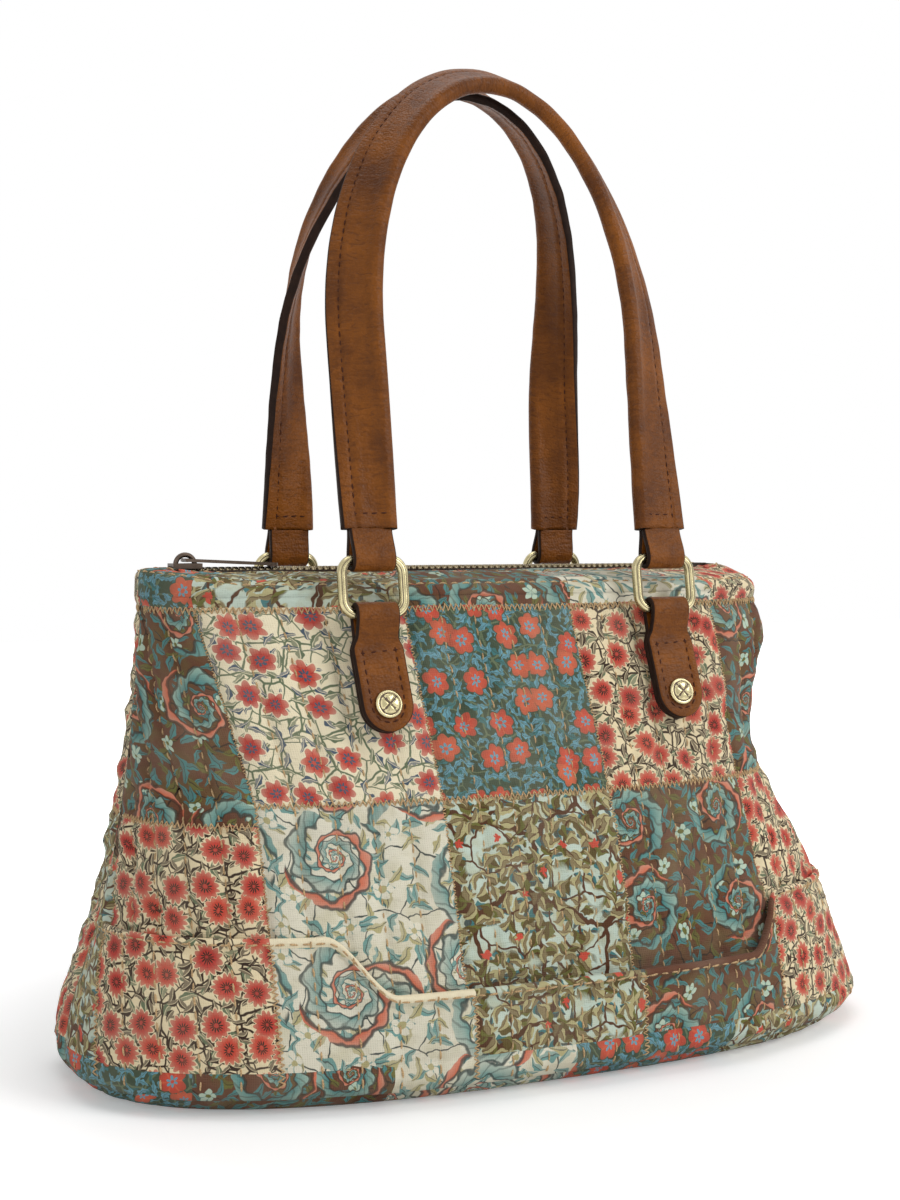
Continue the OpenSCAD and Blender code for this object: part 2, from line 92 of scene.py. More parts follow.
class BagSizes(bpy.types.PropertyGroup):
    """Sizes of the bag's body, pocket and zip"""

    body_h: length("Body height", "Height of the zip mouth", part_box("zip_facing_front")[1].z / MM)
    base_w: length("Base width", "Width across the fullest part", 380)
    base_d: length("Base depth", "Depth across the fullest part", 190)
    top_left: length("Left shoulder", "Half-width of the shoulder where the zip closes", 160)
    top_right: length("Right shoulder", "Half-width of the shoulder where the zip opens", 147)
    top_d: length("Shoulder depth", "Depth across the shoulder", 98)
    shoulder_drop: length("Shoulder drop", "How far the shoulder seam lies below the mouth", 12)
    corner_r: length("Base rounding", "Rounding between the base and the walls", 15)
    dent_in: length("Dent", "Depth of the slack dent in the right-hand end", 16)
    dent_z: length("Dent height", "Height of the dent above the floor", 130)
    dent_reach: length("Dent reach", "Reach of the dent above and below", 42)
    wall: length("Wall", "Thickness of the quilted wall", 2.6)
    channel: length("Channel", "Distance between two rows of quilting", 16)
    puff: length("Puff", "How far the wadding swells between two rows", 1.2)
    patch: length("Patch", "Width of one patch", 80)
    first_seam: length("First seam", "Place of the left-hand patch seam across the front", -129)
    pocket_t: length("Pocket sheet", "Thickness of the pocket's sheet", 2.6)
    pocket_seat: length("Pocket seat", "Room between the wall and the pocket", 1.5)
    pocket_mouth: length("Pocket mouth", "Height of the pocket's mouth", 46)
    pocket_end: length("Pocket ends", "Height of the pocket's raised ends", 70)
    mouth_left: length("Mouth left", "Left end of the pocket's mouth", -78)
    mouth_right: length("Mouth right", "Right end of the pocket's mouth", 92)
    mouth_slope: length("Mouth slope", "Length of the slope at each end of the mouth", 26)
    zip_left: length("Zip left", "Distance from the middle to the zip's closed end", 150)
    zip_right: length("Zip right", "Distance from the middle to the zip's open end", 124)
    mouth_half: length("Zip mouth", "Half-width of the zip mouth", 13)
    facing_t: length("Facing", "Thickness of the zip facing", 2.4)
    tooth_pitch: length("Tooth pitch", "Spacing of the teeth along one tape", 3)


class LeatherSizes(bpy.types.PropertyGroup):
    """Sizes of the tabs, rings, loops and handles"""

    tab_x: length("Tab spacing", "Distance from the middle of a pair to a tab", 71)
    leather: length("Leather", "Thickness of one layer of leather", 2.5)
    bar_bore: length("Fold", "Inner radius of the leather round a ring's bar", 2.6)
    tab_w: length("Tab width", "Width of a tab below its ring", 23)
    loop_w: length("Loop width", "Width of the leather inside a ring", 19)
    tab_l: length("Tab length", "Length of a tab below the ring's bar", 50)
    fold_l: length("Tab fold", "Where the tab's two layers close below the bar", 14)
    tab_swing: angle("Tab swing", "Swing of the tabs to the right below their rings", 4)
    ring_lean: angle("Ring lean", "Lean of the rings towards the middle of the bag", 9)
    ring_wire: length("Ring wire", "Radius of the rings' wire", 2.2)
    ring_w: length("Ring width", "Width of a ring between its arms", 27.6)
    ring_h: length("Ring height", "Height of a ring between its bars", 23)
    ring_corner: length("Ring corner", "Corner radius of a ring", 6)
    rivet_r: length("Rivet", "Radius of the rivet's cap", 6)
    rivet_h: length("Rivet dome", "Height of the rivet's cap", 2.6)
    strap_w: length("Handle width", "Width of a handle", 25)
    roll_r: length("Handle roll", "Radius of the handle's rolled edge", 3.8)
    edge_t: length("Handle edge", "Thickness of the handle's stitched edge", 4.4)
    loop_h: length("Loop height", "Height of the handle's end above the ring's bar", 13)
    leg_h: length("Leg height", "Height of a handle's straight legs", 98)
    arch_h: length("Arch height", "Height of a handle's arch above its legs", 121)
    back_bow: length("Back bow", "How far the back handle bows outwards", 17)
    front_twist: angle("Front twist", "Turn of the front handle at its top", 53)
    back_twist: angle("Back twist", "Turn of the back handle at its top", 100)


class BagColours(bpy.types.PropertyGroup):
    """Colours of the printed cottons, the leather and the thread"""

    cream: colour("Cream ground", "Ground of the cream floral print", "#eee2c2")
    coral: colour("Coral", "Flowers of the cream and green prints", "#c9503f")
    slate: colour("Slate", "Leaves of the cream print", "#4a5a6b")
    moss: colour("Moss", "Stems of the cream print", "#68755a")
    green: colour("Green ground", "Ground of the green floral print", "#465342")
    sky: colour("Sky", "Leaves of the green print", "#6c9fae")
    lagoon: colour("Lagoon", "Shaded leaves of the green print", "#44787a")
    straw: colour("Straw ground", "Ground of the red floral print", "#ead9b2")
    crimson: colour("Crimson", "Flowers of the red floral print", "#b23e3a")
    umber: colour("Umber", "Leaves of the red floral print", "#3b2d24")
    brown: colour("Brown ground", "Ground of the brown scroll print", "#65402f")
    teal: colour("Teal", "Scrolls of the brown print", "#4d8685")
    mint: colour("Mint", "Small flowers of the brown print", "#b9cdb8")
    rust: colour("Rust", "Warm shapes of the scroll prints", "#cf6a4c")
    pale: colour("Pale ground", "Ground of the white scroll print", "#e1dcc8")
    verdigris: colour("Verdigris", "Scrolls of the white print", "#6f9a94")
    ink: colour("Ink", "Outlines of the scroll prints", "#3c4644")
    aqua: colour("Aqua ground", "Ground of the leafy print", "#c3d2c4")
    olive: colour("Olive", "Leaves of the leafy print", "#6b6a36")
    khaki: colour("Khaki", "Pale leaves of the leafy print", "#b3aa7c")
    bark: colour("Bark", "Branches of the leafy print", "#573826")
    leather: colour("Leather", "Saddle leather of the handles and tabs", "#824a12")
    # The deep tone is also painted shade in the low parts of the leather's creases
    leather_deep: colour("Deep leather", "Darker tone and creases of the leather", "#562d09")
    leather_worn: colour("Worn leather", "Rubbed tops of the leather's creases", "#a8652c")
    edge: colour("Edge", "Painted edges of the leather", "#231712")
    edge_worn: colour("Worn edge", "Rubbed spots of the painted edges", "#3d2a20")
    thread: colour("Thread", "Thread of the quilting", "#d9b688")
    brown_thread: colour("Brown thread", "Thread in the leather", "#4a2412")
    brass: colour("Pale brass", "Rings and rivets", "#bdb28a")
    zip_brass: colour("Zip brass", "Teeth of the zip", "#9a8d72")
    gunmetal: colour("Dark metal", "Slider and pull", "#5d5148")
    tarnish: colour("Tarnish", "Aged hollows of the metal", "#3a2f26")
    wash: colour("Wash", "Tone that the prints fade to", "#b9ad98")
    lining: colour("Lining", "Cloth inside the bag", "#6d5a48")


GROUPS = {"bag_sizes": BagSizes, "bag_leather": LeatherSizes, "bag_colours": BagColours}


# Material nodes

MATH = "ShaderNodeMath"
VECTOR = "ShaderNodeVectorMath"
RANGE = "ShaderNodeMapRange"
MIX = "ShaderNodeMixRGB"
NOISE = "ShaderNodeTexNoise"
VORONOI = "ShaderNodeTexVoronoi"
SPLIT = "ShaderNodeSeparateXYZ"
COMBINE = "ShaderNodeCombineXYZ"
COORDS = "ShaderNodeTexCoord"
BUMP = "ShaderNodeBump"
# Setting of a noise that lies in a cloth's own plane
FLAT = {"noise_dimensions": "2D"}
# Scale at which a wave texture has one band in each unit
WAVE_UNIT = pi / 10
# Width of a printed edge, in millimetres
PRINT_SOFT = 0.25
# A flower: start, end and strength of the line between two petals on their wave, and the heart's share
PETAL_LINE = (0.4, 0.15)
PETAL_INK = 0.8
HEART = 0.3
# A leaf: its bend, the waves of its teeth, the rib's share of its width and strength, and its shaded half
LEAF_BEND = 0.35
LEAF_TEETH = 14
RIB = (0.07, 0.03)
RIB_INK = 0.8
LEAF_SHADE = 0.22
LEAF_SOFT = 0.1
# A scroll: middle, half width and raggedness of each band, then its lobes, outline, shade and veins
SCROLL_BANDS = ((0.33, 0.16, 0.06), (0.72, 0.08, 0.03))
SCROLL_LOBES = 9.0
SCROLL_LINE = (0.045, 0.02)
SCROLL_INK = 0.85
SCROLL_SHADE = 3.5
VEINS = 20.0
VEIN_SWEEP = 16.0
VEIN_INK = 0.45
VEIN_EDGE = (0.6, 0.95)
SCROLL_SOFT = 0.02
# Stems of a floral print: their spacing against the flowers', looseness and half width
FLORAL_STEMS = ((1.0, 0.75, 0.3), (0.5, 0.9, 0.14))
# Steps across the cells from one layer of leaves to the next, and from the scrolls to their small flowers
FLORAL_STEP = (3.7, 1.9)
SCROLL_STEP = (2.9, 3.3)
LEAFY_STEP = (2.3, 4.1)
SCROLL_FLOWERS = (5.3, 2.1)
# Each layer of a floral print's leaves is smaller than the last by this share of the first
LAYER_SMALLER = 0.12
# Spacing in the cottons, in millimetres: drift of the drawing, fading, threads, slubs, and crinkles both ways
DRIFT_MM = 9
FADE_MM = 26
THREAD_MM = 0.9
SLUB_MM = 2.2
CRINKLE_MM = (9, 5)
# Spacing in the leather, in millimetres: tone, pores, and creases along the strap and across it
TONE_MM = 30
PORE_MM = 1.2
CREASE_MM = (1.6, 5.0)


def add(tree, kind, *values, out=0, named=None, **settings):
    """Adds a node with its settings, fills or links its inputs in order or by name, and returns one output.

    A kind in capitals is the operation of a Math node.
    """
    made = tree.nodes.new(MATH if kind.isupper() else kind)
    if kind.isupper():
        made.operation = kind
    for key, value in settings.items():
        setattr(made, key, value)
    for place, value in [*enumerate(values), *(named or {}).items()]:
        if isinstance(value, bpy.types.NodeSocket):
            tree.links.new(value, made.inputs[place])
        elif value is not None:
            made.inputs[place].default_value = value
    return made.outputs[out] if made.outputs else None


def palette():
    """The colours from the panel, each with its alpha."""
    chosen = bpy.context.scene.bag_colours
    return {name: (*getattr(chosen, name), 1.0) for name in BagColours.__annotations__}


def new_material(name):
    """A material and its empty node tree."""
    made = bpy.data.materials.new(name)
    made.use_nodes = True
    made.node_tree.nodes.clear()
    return made, made.node_tree


def finish_shader(tree, named):
    """Ends a material in one Principled shader and its output."""
    shader = add(tree, "ShaderNodeBsdfPrincipled", named=named)
    add(tree, "ShaderNodeOutputMaterial", shader)


def moved_on(shift, step, times):
    """A print's shift moved on by some steps, for another layer of it."""
    return (shift[0] + step[0] * times, shift[1] + step[1] * times, 0.0)


def motif_cells(tree, cloth, spacing, loose, shift):
    """Cells of a print: place from the middle of a cell, in mm, turned at random, and a chance."""
    moved = add(tree, VECTOR, cloth, (1 / spacing,) * 3, shift, operation="MULTIPLY_ADD")
    named = {"Scale": 1.0, "Randomness": loose}
    middle = add(tree, VORONOI, moved, out="Position", named=named, voronoi_dimensions="2D")
    off = add(tree, VECTOR, moved, middle, operation="SUBTRACT")
    place = add(tree, VECTOR, off, (spacing,) * 3, operation="MULTIPLY")
    chance = add(tree, "ShaderNodeSeparateColor", middle.node.outputs["Color"])
    turn = add(tree, "MULTIPLY", chance, 2 * pi)
    turned = add(tree, "ShaderNodeVectorRotate", place, None, None, turn, rotation_type="Z_AXIS")
    return turned, chance.node.outputs[1]


def stem_lines(tree, cloth, spacing, loose, shift, half):
    """Stems that run between the cells of a print, as a mask."""
    moved = add(tree, VECTOR, cloth, (1 / spacing,) * 3, shift, operation="MULTIPLY_ADD")
    gap = add(
        tree, VORONOI, moved, named={"Scale": 1.0, "Randomness": loose},
        voronoi_dimensions="2D", feature="DISTANCE_TO_EDGE",
    )
    return add(tree, RANGE, gap, (half + PRINT_SOFT) / spacing, half / spacing)


def polar(tree, place):
    """Distance and angle of a point from the middle of its cell."""
    reach = add(tree, VECTOR, place, operation="LENGTH", out="Value")
    x = add(tree, SPLIT, place)
    return reach, add(tree, "ARCTAN2", x.node.outputs[1], x)


def flower(tree, place, radius, petals, cut):
    """Masks of a flower's petals, the lines between them and its heart, and the share of the way out."""
    reach, turn = polar(tree, place)
    many = add(tree, "MULTIPLY", turn, float(petals))
    half_turn = add(tree, "MULTIPLY", many, 0.5)
    wave = add(tree, "ABSOLUTE", add(tree, "COSINE", half_turn))
    rim = add(tree, "MULTIPLY_ADD", wave, radius * cut, radius * (1 - cut))
    outside = add(tree, "ADD", rim, PRINT_SOFT)
    petal = add(tree, RANGE, reach, outside, rim)
    gap = add(tree, RANGE, wave, *PETAL_LINE, 0.0, PETAL_INK)
    heart = add(tree, RANGE, reach, radius * HEART + PRINT_SOFT, radius * HEART)
    share = add(tree, "DIVIDE", reach, radius)
    return petal, add(tree, "MULTIPLY", gap, petal), heart, share


def leaf(tree, place, long, wide, teeth):
    """A curved, toothed leaf: masks of its blade, of its rib and of its shaded half."""
    x = add(tree, SPLIT, place)
    along = add(tree, "MULTIPLY", x, 2 / long)
    square = add(tree, "MULTIPLY", along, along)
    bent = add(tree, "MULTIPLY_ADD", square, -LEAF_BEND * wide, x.node.outputs[1])
    side = add(tree, "ABSOLUTE", bent)
    belly = add(tree, "MULTIPLY_ADD", square, -wide / 2, wide / 2)
    ripple = add(tree, "COSINE", add(tree, "MULTIPLY", x, LEAF_TEETH / long))
    notch = add(tree, "MULTIPLY_ADD", ripple, teeth / 2, 1 - teeth / 2)
    rim = add(tree, "MULTIPLY", belly, notch)
    outside = add(tree, "ADD", rim, PRINT_SOFT)
    blade = add(tree, RANGE, side, outside, rim)
    rib = add(tree, RANGE, side, wide * RIB[0], wide * RIB[1], 0.0, RIB_INK)
    half = add(tree, RANGE, bent, -LEAF_SOFT, LEAF_SOFT, 0.0, LEAF_SHADE)
    return blade, add(tree, "MULTIPLY", rib, blade), half


def scroll(tree, place, radius, turns):
    """A rolled, lobed scroll: mask, outline and shade of its broad and its thin band, and its veins."""
    reach, turn = polar(tree, place)
    share = add(tree, "DIVIDE", reach, radius)
    wound = add(tree, "LOGARITHM", share, math.e)
    round_once = add(tree, "MULTIPLY", turn, 1 / (2 * pi))
    phase = add(tree, "MULTIPLY_ADD", wound, turns, round_once)
    spiral = add(tree, "FRACT", phase)
    lobes = add(tree, "COSINE", add(tree, "MULTIPLY", turn, SCROLL_LOBES))
    inside = add(tree, RANGE, share, 1.0 + PRINT_SOFT / radius, 1.0)
    bands = []
    for middle, half, ragged in SCROLL_BANDS:
        off = add(tree, "ABSOLUTE", add(tree, "SUBTRACT", spiral, middle))
        edge = add(tree, "MULTIPLY_ADD", lobes, -ragged, off)
        band = add(tree, RANGE, edge, half + SCROLL_SOFT, half)
        rim = add(tree, "ABSOLUTE", add(tree, "SUBTRACT", edge, half))
        line = add(tree, RANGE, rim, *SCROLL_LINE, 0.0, SCROLL_INK)
        shade = add(tree, RANGE, spiral, middle - half, middle + half, 0.0, SCROLL_SHADE * half)
        bands.append([add(tree, "MULTIPLY", mask, inside) for mask in (band, line)] + [shade])
    swept = add(tree, "MULTIPLY", wound, VEIN_SWEEP)
    fan = add(tree, "COSINE", add(tree, "MULTIPLY_ADD", turn, VEINS, swept))
    vein = add(tree, RANGE, fan, *VEIN_EDGE, 0.0, VEIN_INK)
    return bands, add(tree, "MULTIPLY", vein, bands[0][0])


def own_place(tree):
    """A piece's own coordinates, in mm."""
    return add(tree, VECTOR, add(tree, "ShaderNodeUVMap"), (1 / MM,) * 3, operation="MULTIPLY")


def cloth_place(tree, wander):
    """The cloth's own coordinates in mm, and the same made a little uneven, as if drawn by hand."""
    cloth = own_place(tree)
    named = {"Scale": 1 / DRIFT_MM, "Detail": 2.0}
    drift = add(tree, NOISE, cloth, out="Color", named=named, **FLAT)
    centred = add(tree, VECTOR, drift, (0.5, 0.5, 0.5), operation="SUBTRACT")
    return cloth, add(tree, VECTOR, centred, (wander,) * 3, cloth, operation="MULTIPLY_ADD")


def printed_cotton(tree, cloth, printed):
    """Washed cotton: the print fades unevenly, and crinkles and coarsely drawn threads break the light."""
    faded = add(tree, NOISE, cloth, named={"Scale": 1 / FADE_MM, "Detail": 4.0}, **FLAT)
    wash = add(tree, RANGE, faded, 0.35, 0.75, 0.0, 0.14)
    washed = add(tree, MIX, wash, printed, palette()["wash"])
    threads = [
        add(tree, "ShaderNodeTexWave", cloth, out="Fac", bands_direction=way,
            named={"Scale": WAVE_UNIT / THREAD_MM, "Distortion": 1.5, "Detail": 1.0})
        for way in ("X", "Y")
    ]
    weave = add(tree, "ADD", *threads)
    slub = add(tree, NOISE, cloth, named={"Scale": 1 / SLUB_MM, "Detail": 3.0}, **FLAT)
    rough = add(tree, "MULTIPLY_ADD", slub, 1.6, weave)
    fine = add(tree, BUMP, named={"Strength": 0.5, "Distance": 0.12 * MM, "Height": rough})
    drawn = add(tree, VECTOR, cloth, (1 / CRINKLE_MM[0], 1 / CRINKLE_MM[1], 1.0), operation="MULTIPLY")
    uneven = {"Scale": 1.0, "Detail": 3.0, "Distortion": 0.5}
    crinkle = add(tree, NOISE, drawn, named=uneven, **FLAT)
    deep = {"Strength": 0.7, "Distance": 1.1 * MM, "Height": crinkle, "Normal": fine}
    bump = add(tree, BUMP, named=deep)
    return {
        "Base Color": washed, "Roughness": 0.85, "Specular IOR Level": 0.18, "Normal": bump,
        "Sheen Weight": 0.05, "Sheen Roughness": 0.5,
    }


def plain_cotton(tree, ground):
    """The plain ground of a print, painted on the fold of a hem; the pale cream one is a painted highlight.
    """
    return printed_cotton(tree, own_place(tree), ground)


def floral_cotton(
    tree, ground, stem, leaves, flowers, heart, spacing, radius, petals, cut, long, wide, teeth, shift,
):
    """A floral print: stems between the flowers, layers of two-toned leaves, and flowers with paler rims."""
    cloth, drawn = cloth_place(tree, 3.0)
    inked = ground
    for share, loose, half in FLORAL_STEMS:
        stems = stem_lines(tree, drawn, spacing * share, loose, shift, half)
        inked = add(tree, MIX, stems, inked, stem)
    for layer, shade in enumerate(leaves):
        smaller = 1 - LAYER_SMALLER * layer
        off = moved_on(shift, FLORAL_STEP, layer)
        place, _ = motif_cells(tree, drawn, long * 1.1 * smaller, 0.7, off)
        leafy, rib, half = leaf(tree, place, long * smaller, wide * smaller, teeth)
        for mask, over in ((leafy, add(tree, MIX, half, shade, ground)), (rib, ground)):
            inked = add(tree, MIX, mask, inked, over)
    place, chance = motif_cells(tree, drawn, spacing, 0.75, shift)
    halo, _, _, _ = flower(tree, place, radius * 1.1, petals, cut)
    inked = add(tree, MIX, halo, inked, ground)
    petal, gap, _, share = flower(tree, place, radius, petals, cut)
    bright = add(tree, MIX, chance, *flowers)
    rimmed = add(tree, MIX, add(tree, RANGE, share, 0.5, 1.0, 0.0, 0.3), bright, ground)
    seeds, _, pip, _ = flower(tree, place, radius * 0.42, petals, 0.8)
    for mask, over in ((petal, rimmed), (gap, flowers[1]), (seeds, heart), (pip, rimmed)):
        inked = add(tree, MIX, mask, inked, over)
    return printed_cotton(tree, cloth, inked)


def scroll_cotton(tree, ground, broad, thin, line, light, pip, spacing, radius, turns, shift):
    """A scroll print: outlined, shaded scrolls over curling stems, small leaves and pale flowers."""
    cloth, drawn = cloth_place(tree, 5.0)
    mottled = add(tree, NOISE, drawn, named={"Scale": 1 / 12, "Detail": 4.0}, **FLAT)
    inked = add(tree, MIX, add(tree, RANGE, mottled, 0.42, 0.75, 0.0, 0.4), ground, pip)
    inked = add(tree, MIX, stem_lines(tree, drawn, spacing * 0.45, 0.8, shift, 0.16), inked, line)
    for layer, shade in enumerate((broad, pip, broad)):
        off = moved_on(shift, SCROLL_STEP, layer)
        place, _ = motif_cells(tree, drawn, radius * 0.55, 0.8, off)
        leafy, rib, half = leaf(tree, place, radius * 0.44, radius * 0.15, 0.3)
        inked = add(tree, MIX, leafy, inked, add(tree, MIX, half, shade, ground))
        inked = add(tree, MIX, rib, inked, line)
    place, _ = motif_cells(tree, drawn, spacing * 0.5, 0.7, moved_on(shift, SCROLL_FLOWERS, 1))
    petal, gap, heart, _ = flower(tree, place, radius * 0.2, 5, 0.45)
    for over, mask in ((light, petal), (broad, gap), (pip, heart)):
        inked = add(tree, MIX, mask, inked, over)
    place, _ = motif_cells(tree, drawn, spacing, 0.4, shift)
    bands, vein = scroll(tree, place, radius, turns)
    for over, (band, outline, shade) in zip((broad, thin), bands):
        inked = add(tree, MIX, band, inked, add(tree, MIX, shade, over, light))
        inked = add(tree, MIX, outline, inked, line)
    inked = add(tree, MIX, vein, inked, line)
    return printed_cotton(tree, cloth, inked)


def leafy_cotton(
    tree, ground, branch, leaves, berry, boughs, twigs, spacing, long, wide, berries, radius, shift,
):
    """A woodland print: forked branches under clumps of two-toned leaves, with a few berries."""
    cloth, drawn = cloth_place(tree, 6.0)
    mottled = add(tree, NOISE, drawn, named={"Scale": 1 / 8, "Detail": 3.0}, **FLAT)
    inked = add(tree, MIX, add(tree, RANGE, mottled, 0.4, 0.75, 0.0, 0.5), ground, leaves[1])
    clump = add(tree, NOISE, drawn, named={"Scale": 1 / 24, "Detail": 1.0}, **FLAT)
    kept = add(tree, RANGE, clump, 0.3, 0.34)
    for layer, shade in enumerate(leaves):
        if layer == len(leaves) - 2:
            inked = add(tree, MIX, stem_lines(tree, drawn, boughs, 0.8, shift, 1.0), inked, branch)
            inked = add(tree, MIX, stem_lines(tree, drawn, twigs, 0.9, shift, 0.35), inked, branch)
        off = moved_on(shift, LEAFY_STEP, layer)
        place, chance = motif_cells(tree, drawn, spacing, 0.85, off)
        leafy, rib, half = leaf(tree, place, long, wide, 0.2)
        mask = add(tree, "MULTIPLY", leafy, kept)
        mask = add(tree, "MULTIPLY", mask, add(tree, RANGE, chance, 0.12, 0.16))
        darker = add(tree, "MULTIPLY", half, 2.6)
        inked = add(tree, MIX, mask, inked, add(tree, MIX, darker, shade, branch))
        inked = add(tree, MIX, add(tree, "MULTIPLY", rib, mask), inked, branch)
    place, _ = motif_cells(tree, drawn, berries, 0.9, shift)
    petal, _, _, _ = flower(tree, place, radius, 5, 0.4)
    inked = add(tree, MIX, petal, inked, berry)
    return printed_cotton(tree, cloth, inked)


def saddle_leather(tree, light, dark):
    """Vegetable-tanned cowhide, waxed: uneven in tone, finely creased across the strap, with painted shade in
    its creases and a soft gloss.
    """
    strap = own_place(tree)
    broad = {"Scale": 1 / TONE_MM, "Detail": 4.0, "Roughness": 0.6}
    tone = add(tree, NOISE, strap, named=broad, **FLAT)
    deep = add(tree, MIX, add(tree, RANGE, tone, 0.3, 0.7), light, dark)
    squeezed = add(tree, VECTOR, strap, (1 / CREASE_MM[0], 1 / CREASE_MM[1], 1.0), operation="MULTIPLY")
    uneven = {"Scale": 1.0, "Detail": 3.0, "Distortion": 0.8}
    crease = add(tree, NOISE, squeezed, named=uneven, **FLAT)
    pores = add(tree, VORONOI, strap, named={"Scale": 1 / PORE_MM}, voronoi_dimensions="2D")
    grain = add(tree, "MULTIPLY_ADD", pores, 0.45, crease)
    worn = add(tree, MIX, add(tree, RANGE, crease, 0.5, 0.8, 0.0, 0.2), deep, palette()["leather_worn"])
    # Painted shade: the low parts of the creases turn to the dark tone
    sunk = add(tree, MIX, add(tree, RANGE, crease, 0.42, 0.3, 0.0, 0.5), worn, dark)
    bump = add(tree, BUMP, named={"Strength": 0.75, "Distance": 0.5 * MM, "Height": grain})
    dull = add(tree, RANGE, grain, 0.3, 0.9, 0.34, 0.5)
    return {
        "Base Color": sunk, "Roughness": dull, "Specular IOR Level": 0.17, "Normal": bump,
    }


def edge_paint(tree, dark, rubbed):
    """Painted leather edge: near black, rubbed smooth, with a few slow ripples."""
    place = add(tree, COORDS, out="Object")
    tone = add(tree, NOISE, place, named={"Scale": 1 / (4 * MM), "Detail": 3.0})
    shade = add(tree, MIX, add(tree, RANGE, tone, 0.4, 0.8, 0.0, 0.5), dark, rubbed)
    bump = add(tree, BUMP, named={"Strength": 0.3, "Distance": 0.2 * MM, "Height": tone})
    return {
        "Base Color": shade, "Roughness": 0.6, "Specular IOR Level": 0.1, "Normal": bump,
    }


def spun_thread(tree, tone):
    """Spun cotton thread: matte, with its twist drawn about 0.6 mm apart so that it shows, as painted shade
    that darkens its low parts.
    """
    place = add(tree, COORDS, out="Object")
    twist = add(tree, NOISE, place, named={"Scale": 1 / (0.6 * MM), "Detail": 1.0})
    low = (*(0.55 * c for c in tone[:3]), 1.0)
    # Painted shade: the twist's low parts are darker
    shade = add(tree, MIX, add(tree, RANGE, twist, 0.35, 0.7), low, tone)
    bump = add(tree, BUMP, named={"Strength": 0.5, "Distance": 0.1 * MM, "Height": twist})
    return {
        "Base Color": shade, "Roughness": 0.8, "Specular IOR Level": 0.25, "Normal": bump,
    }


def cast_metal(tree, tone, low, high, aged):
    """Plated zinc, tumbled: fine marks about 0.5 mm apart change its gloss, and age darkens it in cloudy
    patches.
    """
    place = add(tree, COORDS, out="Object")
    marks = add(tree, NOISE, place, named={"Scale": 1 / (0.5 * MM), "Detail": 3.0})
    cloud = add(tree, NOISE, place, named={"Scale": 1 / (5 * MM), "Detail": 4.0})
    shade = add(tree, MIX, add(tree, RANGE, cloud, 0.45, 0.75, 0.0, aged), tone, palette()["tarnish"])
    gloss = add(tree, RANGE, marks, 0.3, 0.7, low, high)
    bump = add(tree, BUMP, named={"Strength": 0.15, "Distance": 0.05 * MM, "Height": marks})
    return {"Base Color": shade, "Metallic": 1.0, "Roughness": gloss, "Normal": bump}


def plain_cloth(tree, tone, rib_mm):
    """Plain twill: one colour, with diagonal ribs, painted shade in their grooves, and a little unevenness of
    dye.
    """
    cloth = own_place(tree)
    rib = add(
        tree, "ShaderNodeTexWave", cloth, out="Fac", bands_direction="DIAGONAL",
        named={"Scale": WAVE_UNIT / rib_mm, "Distortion": 0.4},
    )
    dye = add(tree, NOISE, cloth, named={"Scale": 1 / 18, "Detail": 4.0}, **FLAT)
    low = (*(0.6 * c for c in tone[:3]), 1.0)
    # Painted shade: the ribs' grooves are darker
    ribbed = add(tree, MIX, add(tree, RANGE, rib, 0.2, 0.9), low, tone)
    shade = add(tree, MIX, add(tree, RANGE, dye, 0.4, 0.8, 0.0, 0.4), ribbed, low)
    bump = add(tree, BUMP, named={"Strength": 0.6, "Distance": 0.2 * MM, "Height": rib})
    return {
        "Base Color": shade, "Roughness": 0.88, "Specular IOR Level": 0.2, "Normal": bump,
    }


PRINTS = ("cream floral", "green floral", "red floral", "brown scroll", "white scroll", "leafy")
LETTERS = [name[0].upper() for name in PRINTS]
COTTONS = tuple("cotton " + name for name in PRINTS)
# The hem's fold finishes; the pale one is a painted highlight
FOLDS = ("pale cotton fold", "brown cotton fold")
LEATHERS = ("saddle leather", "painted leather edge")
METALS = ("pale brass plate", "antique dark brass")
